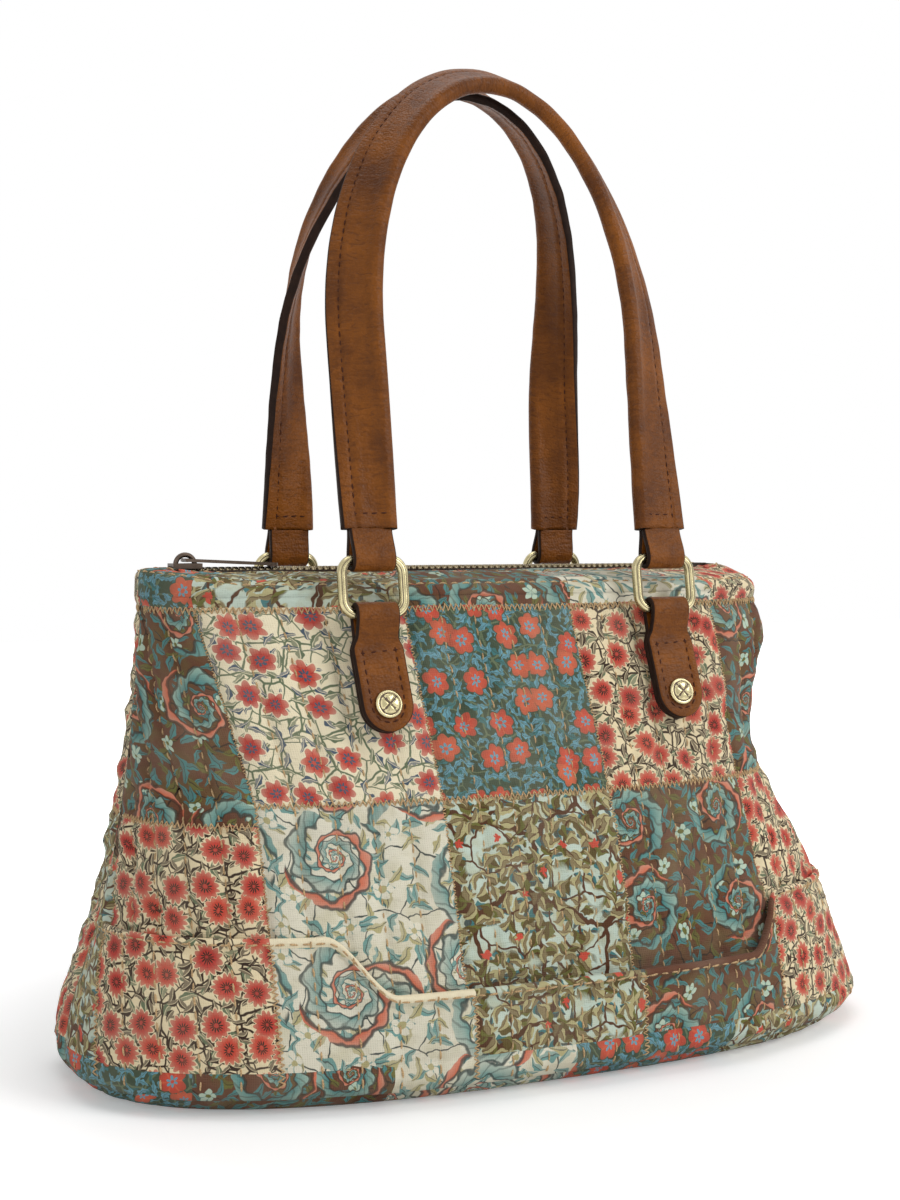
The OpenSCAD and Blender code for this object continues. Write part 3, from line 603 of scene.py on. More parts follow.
# What gives each finish its shader's inputs, with its colours by name and its sizes in millimetres
FINISHES = {
    "cotton cream floral": (floral_cotton, dict(
        ground="cream", stem="moss", leaves=("moss", "slate"), flowers=("coral", "crimson"), heart="slate",
        spacing=17.5, radius=5.6, petals=7, cut=0.34, long=7.8, wide=2.7, teeth=0.5, shift=(0.4, 0.2, 0.0),
    )),
    "cotton green floral": (floral_cotton, dict(
        ground="green", stem="moss", leaves=("lagoon", "sky", "sky"), flowers=("coral", "rust"), heart="sky",
        spacing=16.5, radius=5.7, petals=6, cut=0.3, long=6.8, wide=2.6, teeth=0.6, shift=(1.7, 0.9, 0.0),
    )),
    "cotton red floral": (floral_cotton, dict(
        ground="straw", stem="umber", leaves=("moss", "umber", "umber"), flowers=("crimson", "coral"),
        heart="umber", spacing=14.5, radius=5.7, petals=13, cut=0.3, long=7.6, wide=2.9, teeth=0.15,
        shift=(2.9, 5.1, 0.0),
    )),
    "cotton brown scroll": (scroll_cotton, dict(
        ground="brown", broad="teal", thin="rust", line="umber", light="mint", pip="olive",
        spacing=44.0, radius=17.0, turns=0.75, shift=(0.3, 0.6, 0.0),
    )),
    "cotton white scroll": (scroll_cotton, dict(
        ground="pale", broad="verdigris", thin="rust", line="ink", light="pale", pip="khaki",
        spacing=46.0, radius=21.0, turns=0.8, shift=(1.2, 2.2, 0.0),
    )),
    "cotton leafy": (leafy_cotton, dict(
        ground="aqua", branch="bark", leaves=("lagoon", "khaki", "olive", "khaki"), berry="coral",
        boughs=36.0, twigs=15.0, spacing=6.6, long=7.6, wide=3.3, berries=23.0, radius=1.9,
        shift=(4.4, 0.7, 0.0),
    )),
    # A painted highlight along the pocket's hem: a brighter cream than the white print's ground
    "pale cotton fold": (plain_cotton, dict(ground="cream")),
    "brown cotton fold": (plain_cotton, dict(ground="brown")),
    "saddle leather": (saddle_leather, dict(light="leather", dark="leather_deep")),
    "painted leather edge": (edge_paint, dict(dark="edge", rubbed="edge_worn")),
    "cream cotton thread": (spun_thread, dict(tone="thread")),
    "brown waxed thread": (spun_thread, dict(tone="brown_thread")),
    "pale brass plate": (cast_metal, dict(tone="brass", low=0.18, high=0.34, aged=0.4)),
    "aged zip brass": (cast_metal, dict(tone="zip_brass", low=0.25, high=0.4, aged=0.5)),
    "antique dark brass": (cast_metal, dict(tone="gunmetal", low=0.28, high=0.45, aged=0.6)),
    "woven zip tape": (plain_cloth, dict(tone="umber", rib_mm=1.2)),
    "twill lining": (plain_cloth, dict(tone="lining", rib_mm=1.4)),
}


def toned(value):
    """A finish's value, with the name of a colour turned into that colour."""
    if isinstance(value, str):
        return palette()[value]
    return tuple(map(toned, value)) if isinstance(value, tuple) else value


def finish(name):
    """A finish by name, made when it is first asked for."""
    if name not in bpy.data.materials:
        _, tree = new_material(name)
        maker, values = FINISHES[name]
        finish_shader(tree, maker(tree, **{key: toned(value) for key, value in values.items()}))
    return bpy.data.materials[name]


# Mesh building

MERGE = 0.02 * MM


def ease(x):
    """0 below 0, 1 above 1 and a soft slope between."""
    t = np.clip(x, 0, 1)
    return t * t * (3 - 2 * t)


def bell(x, reach):
    """1 at 0, falling softly to 0 past a reach to both sides."""
    return np.exp(-(x / reach) ** 2)


def joined(*parts):
    """Arrays one after another in one array."""
    return np.concatenate(parts)


def stacked(*coordinates):
    """Coordinates side by side in one array."""
    return np.stack(coordinates, -1)


def waves(a, b, size, seed, stretch=1.0, count=9):
    """Smooth unevenness of about one size: a few sine waves in seeded directions, mostly between -1 and 1."""
    draw = np.random.default_rng(seed)
    total = np.zeros(np.broadcast(a, b).shape)
    for _ in range(count):
        way = draw.uniform(0, pi)
        long = size * draw.uniform(0.7, 1.5)
        along = a * math.cos(way) / stretch + b * math.sin(way)
        total += np.sin(2 * pi * along / long + draw.uniform(0, 2 * pi))
    return total / math.sqrt(count)


def run_along(points):
    """Distance of each point of a line from its first, along the line."""
    return joined([0], np.cumsum(np.linalg.norm(np.diff(points, axis=0), axis=1)))


def unit(vectors):
    """Vectors with their length made 1."""
    return vectors / np.linalg.norm(vectors, axis=-1, keepdims=True)


def new_object(name, data):
    """A new object in the scene."""
    made = bpy.data.objects.new(name, data)
    bpy.context.scene.collection.objects.link(made)
    return made


def new_piece(name, points, faces, corner_uv, kinds, finishes):
    """A smooth mesh piece with merged seams: faces are rows of point numbers, with a UV for each corner."""
    mesh = bpy.data.meshes.new(name)
    mesh.from_pydata(points.tolist(), [], faces)
    mesh.uv_layers.new(name="UVMap").data.foreach_set("uv", np.asarray(corner_uv, float).ravel())
    mesh.polygons.foreach_set("material_index", np.asarray(kinds, int).ravel())
    for name_of_finish in finishes:
        mesh.materials.append(finish(name_of_finish))
    shell = bmesh.new()
    shell.from_mesh(mesh)
    bmesh.ops.remove_doubles(shell, verts=shell.verts, dist=MERGE)
    bmesh.ops.dissolve_degenerate(shell, edges=shell.edges, dist=MERGE)
    if all(len(edge.link_faces) == 2 for edge in shell.edges) and shell.calc_volume(signed=True) < 0:
        bmesh.ops.reverse_faces(shell, faces=shell.faces)
    for face in shell.faces:
        face.smooth = True
    shell.to_mesh(mesh)
    shell.free()
    return new_object(name, mesh)


def grid_faces(rows, cols, wrap):
    """Quads of a grid of points; wrap joins the last row to the first."""
    row, col = np.meshgrid(np.arange(rows if wrap else rows - 1), np.arange(cols - 1), indexing="ij")
    here = row * cols + col
    above = ((row + 1) % rows) * cols + col
    return stacked(here, here + 1, above + 1, above).reshape(-1, 4)


def sheet_piece(name, grid, uv, finishes, kinds=0, wrap=True):
    """A sewn sheet from a grid of points; kinds gives the finish of each quad, where there are several."""
    rows, cols = grid.shape[:2]
    faces = grid_faces(rows, cols, wrap)
    flat_uv = uv.reshape(-1, 2)
    face_kinds = np.ravel(kinds) + np.zeros(len(faces), int)
    return new_piece(name, grid.reshape(-1, 3), faces.tolist(), flat_uv[faces], face_kinds, finishes)


def tube_piece(name, rings, along, kinds, finishes, closed=False):
    """A swept piece from rings of points; kinds gives the finish of each strip round it, and of its ends."""
    count, sides = rings.shape[:2]
    spans = count if closed else count - 1
    i, k = np.meshgrid(np.arange(spans), np.arange(sides), indexing="ij")
    i, k = i.ravel(), k.ravel()
    j, m = (i + 1) % count, (k + 1) % sides
    faces = stacked(i * sides + k, i * sides + m, j * sides + m, j * sides + k)
    middle = rings[count // 2]
    around = run_along(np.vstack([middle, middle[:1]]))
    run = np.append(along, 2 * along[-1] - along[-2])
    corner_uv = np.stack([
        stacked(run[i], around[k]), stacked(run[i], around[k + 1]),
        stacked(run[i + 1], around[k + 1]), stacked(run[i + 1], around[k]),
    ], 1)
    points = rings.reshape(-1, 3)
    face_kinds = np.asarray(kinds)[k]
    rows = faces.tolist()
    if not closed:
        # Each end is closed by a fan to the middle of its ring
        for ring in (0, count - 1):
            here = ring * sides + np.arange(sides)
            rim = (here, np.roll(here, -1)) if ring else (np.roll(here, -1), here)
            rows += stacked(np.full(sides, len(points)), *rim).tolist()
            points = np.vstack([points, rings[ring].mean(0)])
        corner_uv = np.append(corner_uv, np.zeros((2 * sides, 3, 2)))
        face_kinds = np.append(face_kinds, np.full(2 * sides, max(kinds)))
    return new_piece(name, points, rows, corner_uv, face_kinds, finishes)


def settle(piece):
    """Turns a piece with modifiers into a plain mesh."""
    graph = bpy.context.evaluated_depsgraph_get()
    mesh = bpy.data.meshes.new_from_object(piece.evaluated_get(graph), depsgraph=graph)
    piece.modifiers.clear()
    piece.data = mesh
    return piece


def belongs(piece, body, slot, *nodes):
    """A finished piece rides on its body and stands for its nodes; its slot is not used."""
    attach(piece, body)
    if nodes:
        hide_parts(*nodes)
    return piece


# The body's shape

# Powers that shape it: how square its plan is, and how its ends and faces curve up to the shoulder
SQUARENESS = 2.6
END_FLARE = 1.6
FACE_BOW = 1.3
PLAN_POINTS = 1601
FOOT_STEPS = 14
# Lengths below this count as none
TINY = 1e-12
# The slack cloth bulges under the right shoulder
BULGE = 6 * MM
BULGE_Z = 186 * MM
BULGE_REACH = 20 * MM
# It sags at the foot of the left end
SAG = 4.5 * MM
SAG_Z = 32 * MM
SAG_REACH = 28 * MM
# Lean of the patch seams: how far they stand to the right at three heights
LEAN_AT = np.array((17, 121, 201)) * MM
LEAN_BY = np.array((3, 0, -8)) * MM
# The upper seams on the left spread outwards: how far, from where across the wall, and how soon
LEFT_SPREAD = 11 * MM
LEFT_FROM = 50 * MM
LEFT_OVER = 80 * MM
# Spacing of a wall's points across and up it
COLUMN = 1.6 * MM
ROW = 2.0 * MM
# Most that the slack cloth sinks below the smooth wall
SLACK_MOST = 1.9 * MM
# Puffs between two rows of quilting: how far they dip at the rows, and how round they are
PUFF_DIP = 0.75
PUFF_ROUND = 0.6
# Puckers along a row: height, spacing, reach to each side, and shift from row to row
PUCKER = 0.6 * MM
PUCKER_PITCH = 6.2 * MM
PUCKER_REACH = 4.2 * MM
PUCKER_SHIFT = 2.4
# Gathers are stronger towards the ends: by how much, from where across the wall, and how soon
GATHER = 1.1
GATHER_FROM = 120 * MM
GATHER_OVER = 70 * MM
# They drift along their row and vary in height: by how much, and over what size
PUCKER_DRIFT = 1.3
DRIFT_SIZE = 40 * MM
PUCKER_VARY = 0.4
VARY_SIZE = 35 * MM
# Creases: height, size and stretch along the wall
CREASE = 0.4 * MM
CREASE_SIZE = 13 * MM
CREASE_STRETCH = 2.2
# Waves of slack: height, size, stretch along the wall, and how many heights lower they lie
SLACK_WAVES = ((1.5 * MM, 75 * MM, 1.4, 1.0), (0.7 * MM, 30 * MM, 1.8, 0.6))
# Heights over which the cloth turns smooth: from below the base seam up, and under the shoulder
FOOT_FROM = -6 * MM
FOOT_OVER = 16 * MM
SHOULDER_OVER = 6 * MM
# A seam presses the puffs by a share over a band, and the seam between two columns of patches sinks
SEAM_PRESS = 0.75
SEAM_BAND = 2.6 * MM
COLUMN_SINK = 0.35 * MM
COLUMN_BAND = 2.0 * MM
# The side seams draw the cloth in
SIDE_SINK = 0.9 * MM
SIDE_BAND = 4 * MM
# Seams up the wall: the base strip, the join of the two patch rows, and the shoulder strip
SEAM_BASE = 19 * MM
SEAM_MIDDLE = 121.5 * MM
SEAM_TOP = 201 * MM
# The left-hand patches sit a little lower
LEFT_DROP = 8 * MM
# The patches of the base strip are set to the left of those above
BASE_SHIFT = 35 * MM

# Patches of each strip from left to right, by the first letters of their prints
FRONT_PATCHES = {"shoulder": "LGLBWRG", "upper": "CBCGRBL", "lower": "LRWLBRG", "base": "LGBWGLR"}
BACK_PATCHES = {"shoulder": "GRWGLBL", "upper": "LRBCWGC", "lower": "RLGRBCL", "base": "GBLGWLR"}


def shoulder_z(s):
    """Height of the shoulder seam."""
    return s.body_h - s.shoulder_drop


def rise(s, z):
    """Share of the way up the wall."""
    return np.clip((z - s.corner_r) / (shoulder_z(s) - s.corner_r), 0, 1)


def half_depth(s, z):
    """Half of the bag's depth at a height."""
    return s.base_d / 2 - (s.base_d - s.top_d) / 2 * rise(s, z) ** FACE_BOW


def half_width(s, z, right):
    """Half of the bag's width at a height, on the left or the right."""
    top = s.top_right if right else s.top_left
    wide = top + (s.base_w / 2 - top) * (1 - rise(s, z)) ** END_FLARE
    if not right:
        return wide + SAG * bell(z - SAG_Z, SAG_REACH)
    bulge = BULGE * bell(z - BULGE_Z, BULGE_REACH)
    wide = wide + bulge * ease((shoulder_z(s) - z) / BULGE_REACH)
    return wide - s.dent_in * bell(z - s.dent_z, s.dent_reach)


def face_depth(s, x, z):
    """Depth of the front face at a place across the bag."""
    share = np.abs(x) / half_width(s, z, x > 0)
    return half_depth(s, z) * (1 - share ** SQUARENESS) ** (1 / SQUARENESS)


def plan_line(s, ref, growth):
    """The plan's front half at one level, from the left seam to the right, with its run from the middle."""
    t = np.linspace(pi, 2 * pi, PLAN_POINTS)
    u, v = (np.sign(f) * np.abs(f) ** (2 / SQUARENESS) for f in (np.cos(t), np.sin(t)))
    wide = np.where(u > 0, half_width(s, ref, True), half_width(s, ref, False))
    x, y = u * (wide + growth), v * (half_depth(s, ref) + growth)
    run = run_along(stacked(x, y))
    return x, y, run - run[len(run) // 2]


class Wall:
    """One wall of the bag as a grid: pattern places c across and q up, with points, normals and quilting."""

    def __init__(self, back):
        s = bpy.context.scene.bag_sizes
        turn = np.linspace(0, pi / 2, FOOT_STEPS)
        high = np.linspace(s.corner_r, shoulder_z(s), int((shoulder_z(s) - s.corner_r) / ROW) + 1)[1:]
        ref = joined(np.full(len(turn), s.corner_r), high)
        growth = joined(s.corner_r * (np.sin(turn) - 1), 0 * high)
        z = joined(s.corner_r * (1 - np.cos(turn)), high)
        self.q = joined(s.corner_r * (1 + turn - pi / 2), high)
        lines = [plan_line(s, r, g) for r, g in zip(ref, growth)]
        reach = max(line[2][-1] for line in lines) - LEAN_BY.min()
        first = s.first_seam - COLUMN * math.ceil((reach + s.first_seam) / COLUMN)
        self.c = np.arange(first, reach + COLUMN, COLUMN)
        lean = np.interp(z, LEAN_AT, LEAN_BY)
        grid, seam = [], []
        spread = LEFT_SPREAD * ease((-self.c - LEFT_FROM) / LEFT_OVER)
        for (x, y, run), height, across in zip(lines, z, lean):
            p = self.c + across - spread * np.clip((height - SEAM_MIDDLE) / (SEAM_TOP - SEAM_MIDDLE), 0, 1)
            grid.append(stacked(np.interp(p, run, x), np.interp(p, run, y), np.full(len(p), height)))
            seam.append(np.clip(np.minimum(run[-1] - p, p - run[0]), 0, None))
        self.base = np.array(grid)
        self.to_seam = np.array(seam)
        up = np.gradient(self.base, axis=0)
        right = np.gradient(self.base, axis=1)
        normal = np.cross(right, up)
        size = np.linalg.norm(normal, axis=-1, keepdims=True)
        out = stacked(self.base[..., 0] * 0.5, self.base[..., 1], 0 * self.base[..., 2])
        out /= np.linalg.norm(out, axis=-1, keepdims=True) + TINY
        self.normal = np.where(size > TINY, normal / np.maximum(size, TINY), out)
        if back:
            self.base[..., 1] *= -1
            self.normal[..., 1] *= -1
        self.swell = self.quilting(s, 40 if back else 7)
        self.outer = self.base + self.normal * self.swell[..., None]

    def quilting(self, s, seed):
        """Height of the cloth over the smooth wall: puffs, puckers at the stitches, creases and slack."""
        c, q = np.meshgrid(self.c, self.q)
        rows = (c - s.first_seam) / s.channel
        puffed = s.puff * ((1 + PUFF_DIP) * np.abs(np.sin(pi * rows)) ** PUFF_ROUND - PUFF_DIP)
        line_no = np.round(rows)
        off = np.abs(rows - line_no) * s.channel
        drift = PUCKER_DRIFT * waves(c, q, DRIFT_SIZE, seed + 1)
        pucker = np.sin(2 * pi * q / PUCKER_PITCH + PUCKER_SHIFT * line_no + drift)
        ends = 1 + GATHER * ease((np.abs(c) - GATHER_FROM) / GATHER_OVER)
        uneven = 1 - PUCKER_VARY + PUCKER_VARY * waves(c, q, VARY_SIZE, seed + 2)
        puffed += PUCKER * ends * pucker * uneven * np.exp(-off / PUCKER_REACH)
        puffed += CREASE * ends * waves(c, q, CREASE_SIZE, seed + 3, CREASE_STRETCH)
        slack = 0
        for number, (high, size, stretch, lower) in enumerate(SLACK_WAVES, 4):
            slack = slack + high * (waves(c, q, size, seed + number, stretch) - lower)
        for seam in (SEAM_BASE, SEAM_MIDDLE, SEAM_TOP):
            drop = LEFT_DROP * (c < s.first_seam) * (seam == SEAM_MIDDLE)
            puffed *= 1 - SEAM_PRESS * bell(q - seam + drop, SEAM_BAND)
        patches = (c - s.first_seam) / s.patch
        columns = np.abs(patches - np.round(patches)) * s.patch
        puffed -= COLUMN_SINK * bell(columns, COLUMN_BAND)
        total = np.minimum(puffed + np.maximum(slack, -SLACK_MOST), s.puff)
        calm = ease((q - FOOT_FROM) / FOOT_OVER) * ease((shoulder_z(s) - q) / SHOULDER_OVER)
        near = ease(self.to_seam / SIDE_BAND)
        return total * calm * near - SIDE_SINK * (1 - near)

    def at(self, grid, c, q):
        """Values of one of the wall's grids at pattern places."""
        row = np.interp(q, self.q, np.arange(len(self.q)))
        col = np.interp(c, self.c, np.arange(len(self.c)))
        i = np.clip(np.floor(row).astype(int), 0, len(self.q) - 2)
        j = np.clip(np.floor(col).astype(int), 0, len(self.c) - 2)
        fr, fc = row - i, col - j
        if grid.ndim == 3:
            fr, fc = fr[..., None], fc[..., None]
        low = grid[i, j] * (1 - fc) + grid[i, j + 1] * fc
        high = grid[i + 1, j] * (1 - fc) + grid[i + 1, j + 1] * fc
        return low * (1 - fr) + high * fr


def patch_kinds(s, c, q, patches):
    """Number of the print on each quad, from its pattern place."""
    shifted = c - s.first_seam + BASE_SHIFT * (q < SEAM_BASE)
    column = np.clip(np.floor(shifted / s.patch).astype(int) + 2, 0, 6)
    middle = SEAM_MIDDLE - LEFT_DROP * (c < s.first_seam)
    strips = ("base", "lower", "upper", "shoulder")
    rows = [[LETTERS.index(letter) for letter in patches[strip]] for strip in strips]
    row = (q > SEAM_BASE).astype(int) + (q > middle) + (q > SEAM_TOP)
    return np.array(rows)[row, column]


def middles(values):
    """The middle between each value and the next."""
    return (values[:-1] + values[1:]) / 2


def wall_piece(name, back, patches):
    """A quilted wall: the outer cloth with its puffs, and a plain inner side, closed at every seam."""
    s = bpy.context.scene.bag_sizes
    wall = Wall(back)
    inner_q = wall.q[::-1]
    c, q = np.meshgrid(wall.c, inner_q)
    near = ease(wall.at(wall.to_seam, c, q) / (8 * MM))
    inner = wall.at(wall.base, c, q) - wall.at(wall.normal, c, q) * (s.wall * near + SIDE_SINK)[..., None]
    inner[:, :, 2] = np.clip(inner[:, :, 2], s.wall * near, shoulder_z(s) - 0.4 * MM * near)
    grid = joined(wall.outer, inner)
    all_q = joined(wall.q, inner_q)
    uv = np.stack(np.meshgrid(wall.c, all_q), -1)
    lined = np.full((len(inner_q) + 1, len(wall.c) - 1), len(PRINTS))
    printed = patch_kinds(s, middles(wall.c), middles(wall.q)[:, None], patches)
    kinds = joined(printed, lined)[:len(all_q)]
    piece = sheet_piece(name + "_cloth", grid, uv, (*COTTONS, "twill lining"), kinds)
    belongs(piece, "bag", "patchwork", name)
    return piece


class BAG_OT_walls(bpy.types.Operator):
    """Front and back walls of quilted patchwork"""

    bl_idname = "bag.walls"
    bl_label = "Walls"

    def execute(self, context):
        wall_piece("front_panel", False, FRONT_PATCHES)
        wall_piece("back_panel", True, BACK_PATCHES)
        return {"FINISHED"}


# The pocket on the front

HEM_R = 1.9 * MM
HEM_STEPS = 7
# Rows of the pocket's outer cloth that belong to its hem's fold, and the plain ground painted there
HEM_BAND = 5
# On the white print that ground is a brighter cream than its own: a painted highlight along the hem
HEM_FOLDS = {"white scroll": "pale cotton fold", "brown scroll": "brown cotton fold"}
POCKET_ROWS = 40
POCKET_INNER_ROWS = 8
# The pocket's print is cut from another part of the cloth
POCKET_PRINT_SHIFT = 53 * MM
# How far the mouth stands open
GAPE = 3.2 * MM
# The pocket lies closer to the wall beside its mouth
ENDS_CLOSER = 0.45
# The topstitching lies below the mouth and sinks, the hem stands above it, and the base seam is creased
POCKET_STITCH = 5.0 * MM
STITCH_SINK = 1.5 * MM
HEM_STANDS = 1.3 * MM
HEM_WIDE = 1.5 * MM
FOOT_CREASE = 1.0 * MM
FOOT_WIDE = 1.6 * MM
# How far round the base's rounding the pocket starts, and the power that draws its rows together at the mouth
POCKET_FOOT = pi / 6
ROWS_CLOSER = 1.5
# Its puffs and their dip against the wall's, and how round they are
POCKET_PUFF = 0.9
POCKET_DIP = 0.5
POCKET_ROUND = 0.7
# Waves of its cloth: height, size, stretch and seed
POCKET_WAVES = ((0.4 * MM, 16 * MM, 1.6, 31), (0.7 * MM, 60 * MM, 1.0, 33))
# It turns smooth below its mouth and above its foot, and the mouth closes towards its raised ends
CALM_MOUTH = 9 * MM
CALM_FOOT = 10 * MM
GAPE_ENDS = 10 * MM
# It is drawn in to the wall at the side seams, over two widths, and at its foot
TUCK_NEAR = 9 * MM
TUCK_FAR = 30 * MM
FOOT_TUCK = 0.35
FOOT_TUCK_OVER = 7 * MM


def pocket_top(s, wall):
    """Height of the pocket's mouth for each column of the wall."""
    x = wall.at(wall.base, wall.c, np.full(len(wall.c), s.pocket_mouth))[:, 0]
    ends = ease((s.mouth_left - x) / s.mouth_slope) + ease((x - s.mouth_right) / s.mouth_slope)
    return s.pocket_mouth + (s.pocket_end - s.pocket_mouth) * ends


def pocket_grid(s, wall):
    """Rows of the pocket's outer cloth, hem and inner side, and the pattern height of each point."""
    foot = s.corner_r * (1 - POCKET_FOOT)
    top = pocket_top(s, wall)
    share = 1 - (1 - np.linspace(0, 1, POCKET_ROWS)[:, None]) ** ROWS_CLOSER
    hem = np.linspace(0, pi, HEM_STEPS)[:, None]
    outer_q = foot + (top - HEM_R - foot) * share
    hem_q = top - HEM_R + HEM_R * np.sin(hem)
    inner_q = outer_q[np.linspace(POCKET_ROWS - 1, 0, POCKET_INNER_ROWS).astype(int)]
    q = joined(outer_q, hem_q, inner_q)
    c = np.broadcast_to(wall.c, q.shape)
    rows = (c - s.first_seam) / s.channel
    puffed = POCKET_PUFF * s.puff * np.abs(np.sin(pi * rows)) ** POCKET_ROUND - POCKET_DIP * s.puff
    puffed += sum(high * waves(c, q, size, seed, stretch) for high, size, stretch, seed in POCKET_WAVES)
    puffed *= ease((top - q) / CALM_MOUTH) * ease((q - foot) / CALM_FOOT)
    puffed -= STITCH_SINK * bell(top - q - POCKET_STITCH, HEM_WIDE)
    puffed += HEM_STANDS * bell(top - q - HEM_R, HEM_WIDE)
    puffed -= FOOT_CREASE * bell(q - SEAM_BASE, FOOT_WIDE)
    full = s.pocket_seat + s.pocket_t
    out = joined(
        np.full(outer_q.shape, full) + puffed[:POCKET_ROWS],
        full - HEM_R + HEM_R * np.cos(hem) + puffed[POCKET_ROWS - 1] * (1 + np.cos(hem)) / 2,
        np.full(inner_q.shape, s.pocket_seat),
    )
    out = out + GAPE * ease((q - foot) / (top - foot)) * ease((s.pocket_end - top) / GAPE_ENDS)
    to_seam = wall.at(wall.to_seam, c, q)
    near = ease(to_seam / TUCK_NEAR) * (1 + ease(to_seam / TUCK_FAR)) / 2
    tucked = FOOT_TUCK + (1 - FOOT_TUCK) * ease((q - foot) / FOOT_TUCK_OVER)
    close = 1 - ENDS_CLOSER * (top - s.pocket_mouth) / (s.pocket_end - s.pocket_mouth)
    out = out * near * tucked * close
    return wall.at(wall.base, c, q) + wall.at(wall.normal, c, q) * out[..., None], q


class BAG_OT_pocket(bpy.types.Operator):
    """Slip pocket over the lower front, with a rolled hem along its dipped mouth"""

    bl_idname = "bag.pocket"
    bl_label = "Pocket"

    def execute(self, context):
        s = context.scene.bag_sizes
        wall = Wall(False)
        grid, q = pocket_grid(s, wall)
        c = np.broadcast_to(wall.c, q.shape)
        uv = stacked(c, q + POCKET_PRINT_SHIFT)
        between = middles((q + np.roll(q, -1, 0)).T / 2).T
        kinds = patch_kinds(s, middles(wall.c), between, FRONT_PATCHES)
        folded = kinds[POCKET_ROWS - HEM_BAND:POCKET_ROWS + HEM_STEPS]
        # The hem's fold takes a plain ground; the pale cream one is a painted highlight
        for number, name in enumerate(PRINTS):
            if name in HEM_FOLDS:
                folded[folded == number] = len(PRINTS) + FOLDS.index(HEM_FOLDS[name])
        piece = sheet_piece("pocket_cloth", grid, uv, COTTONS + FOLDS, kinds)
        belongs(piece, "bag", "patchwork", "front_pocket")
        return {"FINISHED"}


# The zip facings, base and lining

FACING_ROWS = 24
FACING_INNER_ROWS = 6
BASE_ROWS = 14
BASE_STRIDE = 3
# The zip stands this much proud of the facing beside it
ZIP_STANDS = 1.6 * MM
# Shares of the way up where the topstitching lies
TOPSTITCH_LOW = 0.12
TOPSTITCH_HIGH = 0.84
# Depth of the topstitching, and its width as a share of the way up
TOPSTITCH_SINK = 0.6 * MM
TOPSTITCH_WIDE = 0.03
# Gathers at the upper topstitching: height, spacing, waver, size of the waver, and reach as a share
FACING_GATHER = 0.5 * MM
GATHER_PITCH = 7 * MM
GATHER_WAVER = 3
WAVER_SIZE = 50 * MM
FACING_GATHER_REACH = 0.06
# Slack of the facings: height, size, stretch, and how many heights lower it lies
FACING_SLACK = (0.6 * MM, 22 * MM, 1.5, 0.8)
# Shares of the run at an end over which the mouth closes, the zip sinks in, and the left end stands square
MOUTH_CLOSES = 0.02
ZIP_SINKS_IN = 0.06
LEFT_SQUARE = 0.16


def facing_outer(s, wall, share):
    """Smooth points of the facing at shares of the way from the shoulder seam to the zip, for each column."""
    edge = wall.base[-1]
    run = run_along(edge)
    run /= run[-1]
    mouth_x = -s.zip_left + (s.zip_left + s.zip_right) * run
    end = np.clip(np.minimum(run, 1 - run) / MOUTH_CLOSES, 0, 1)
    mouth_y = np.sign(edge[:, 1].sum()) * s.mouth_half * np.sqrt(1 - (1 - end) ** 2)
    w = share[:, None]
    sunk = ZIP_STANDS * ease(np.minimum(run, 1 - run) / ZIP_SINKS_IN)
    square = 2 + 4 * (1 - ease(run / LEFT_SQUARE))
    lift = (1 - (1 - w) ** square) ** (1 / square)
    return stacked(
        edge[:, 0] + (mouth_x - edge[:, 0]) * w,
        edge[:, 1] + (mouth_y - edge[:, 1]) * w,
        shoulder_z(s) + s.shoulder_drop * lift - sunk * ease((w - 0.1) / 0.35),
    )


def grid_normals(grid, upward):
    """Unit normals of a grid of points, turned to the side of a given direction."""
    normal = np.cross(np.gradient(grid, axis=1), np.gradient(grid, axis=0))
    size = np.linalg.norm(normal, axis=-1, keepdims=True)
    way = np.where(size > TINY, normal / np.maximum(size, TINY), np.array(upward))
    return way * np.where((way @ np.array(upward)) < 0, -1, 1)[..., None]


class Facing:
    """One zip facing as a grid of shares up it and columns across it."""

    def __init__(self, back):
        s = bpy.context.scene.bag_sizes
        wall = Wall(back)
        self.c = wall.c
        self.share = np.linspace(0, 1, FACING_ROWS) ** 1.25
        smooth = facing_outer(s, wall, self.share)
        self.normal = grid_normals(smooth, (0, 0.2 if back else -0.2, 1))
        c, w = np.meshgrid(self.c, self.share)
        run = w * (half_depth(s, shoulder_z(s)) - s.mouth_half)
        high, size, stretch, lower = FACING_SLACK
        slack = high * (waves(c, run, size, 61 + back, stretch) - lower)
        puffed = slack * ease((w - 0.15) / 0.2)
        gathered = np.sin(2 * pi * c / GATHER_PITCH + GATHER_WAVER * waves(c, run, WAVER_SIZE, 65))
        puffed += FACING_GATHER * gathered * np.exp(-np.abs(w - TOPSTITCH_HIGH) / FACING_GATHER_REACH)
        for line in (TOPSTITCH_LOW, TOPSTITCH_HIGH):
            puffed -= TOPSTITCH_SINK * bell(w - line, TOPSTITCH_WIDE)
        near = ease(wall.to_seam[-1] / (10 * MM))
        calm = ease(w / 0.05) * (1 - 0.7 * ease((w - 0.9) / 0.1))
        self.outer = smooth + self.normal * (puffed * calm * near)[..., None]
        picked = np.linspace(FACING_ROWS - 1, 0, FACING_INNER_ROWS).astype(int)
        thick = (s.facing_t * (0.15 + 0.85 * near))[:, None]
        self.inner = smooth[picked] - self.normal[picked] * thick
        climbed = np.cumsum(np.linalg.norm(np.diff(smooth, axis=0, prepend=smooth[:1]), axis=-1), axis=0)
        self.q = shoulder_z(s) + climbed
        self.inner_q = self.q[picked]


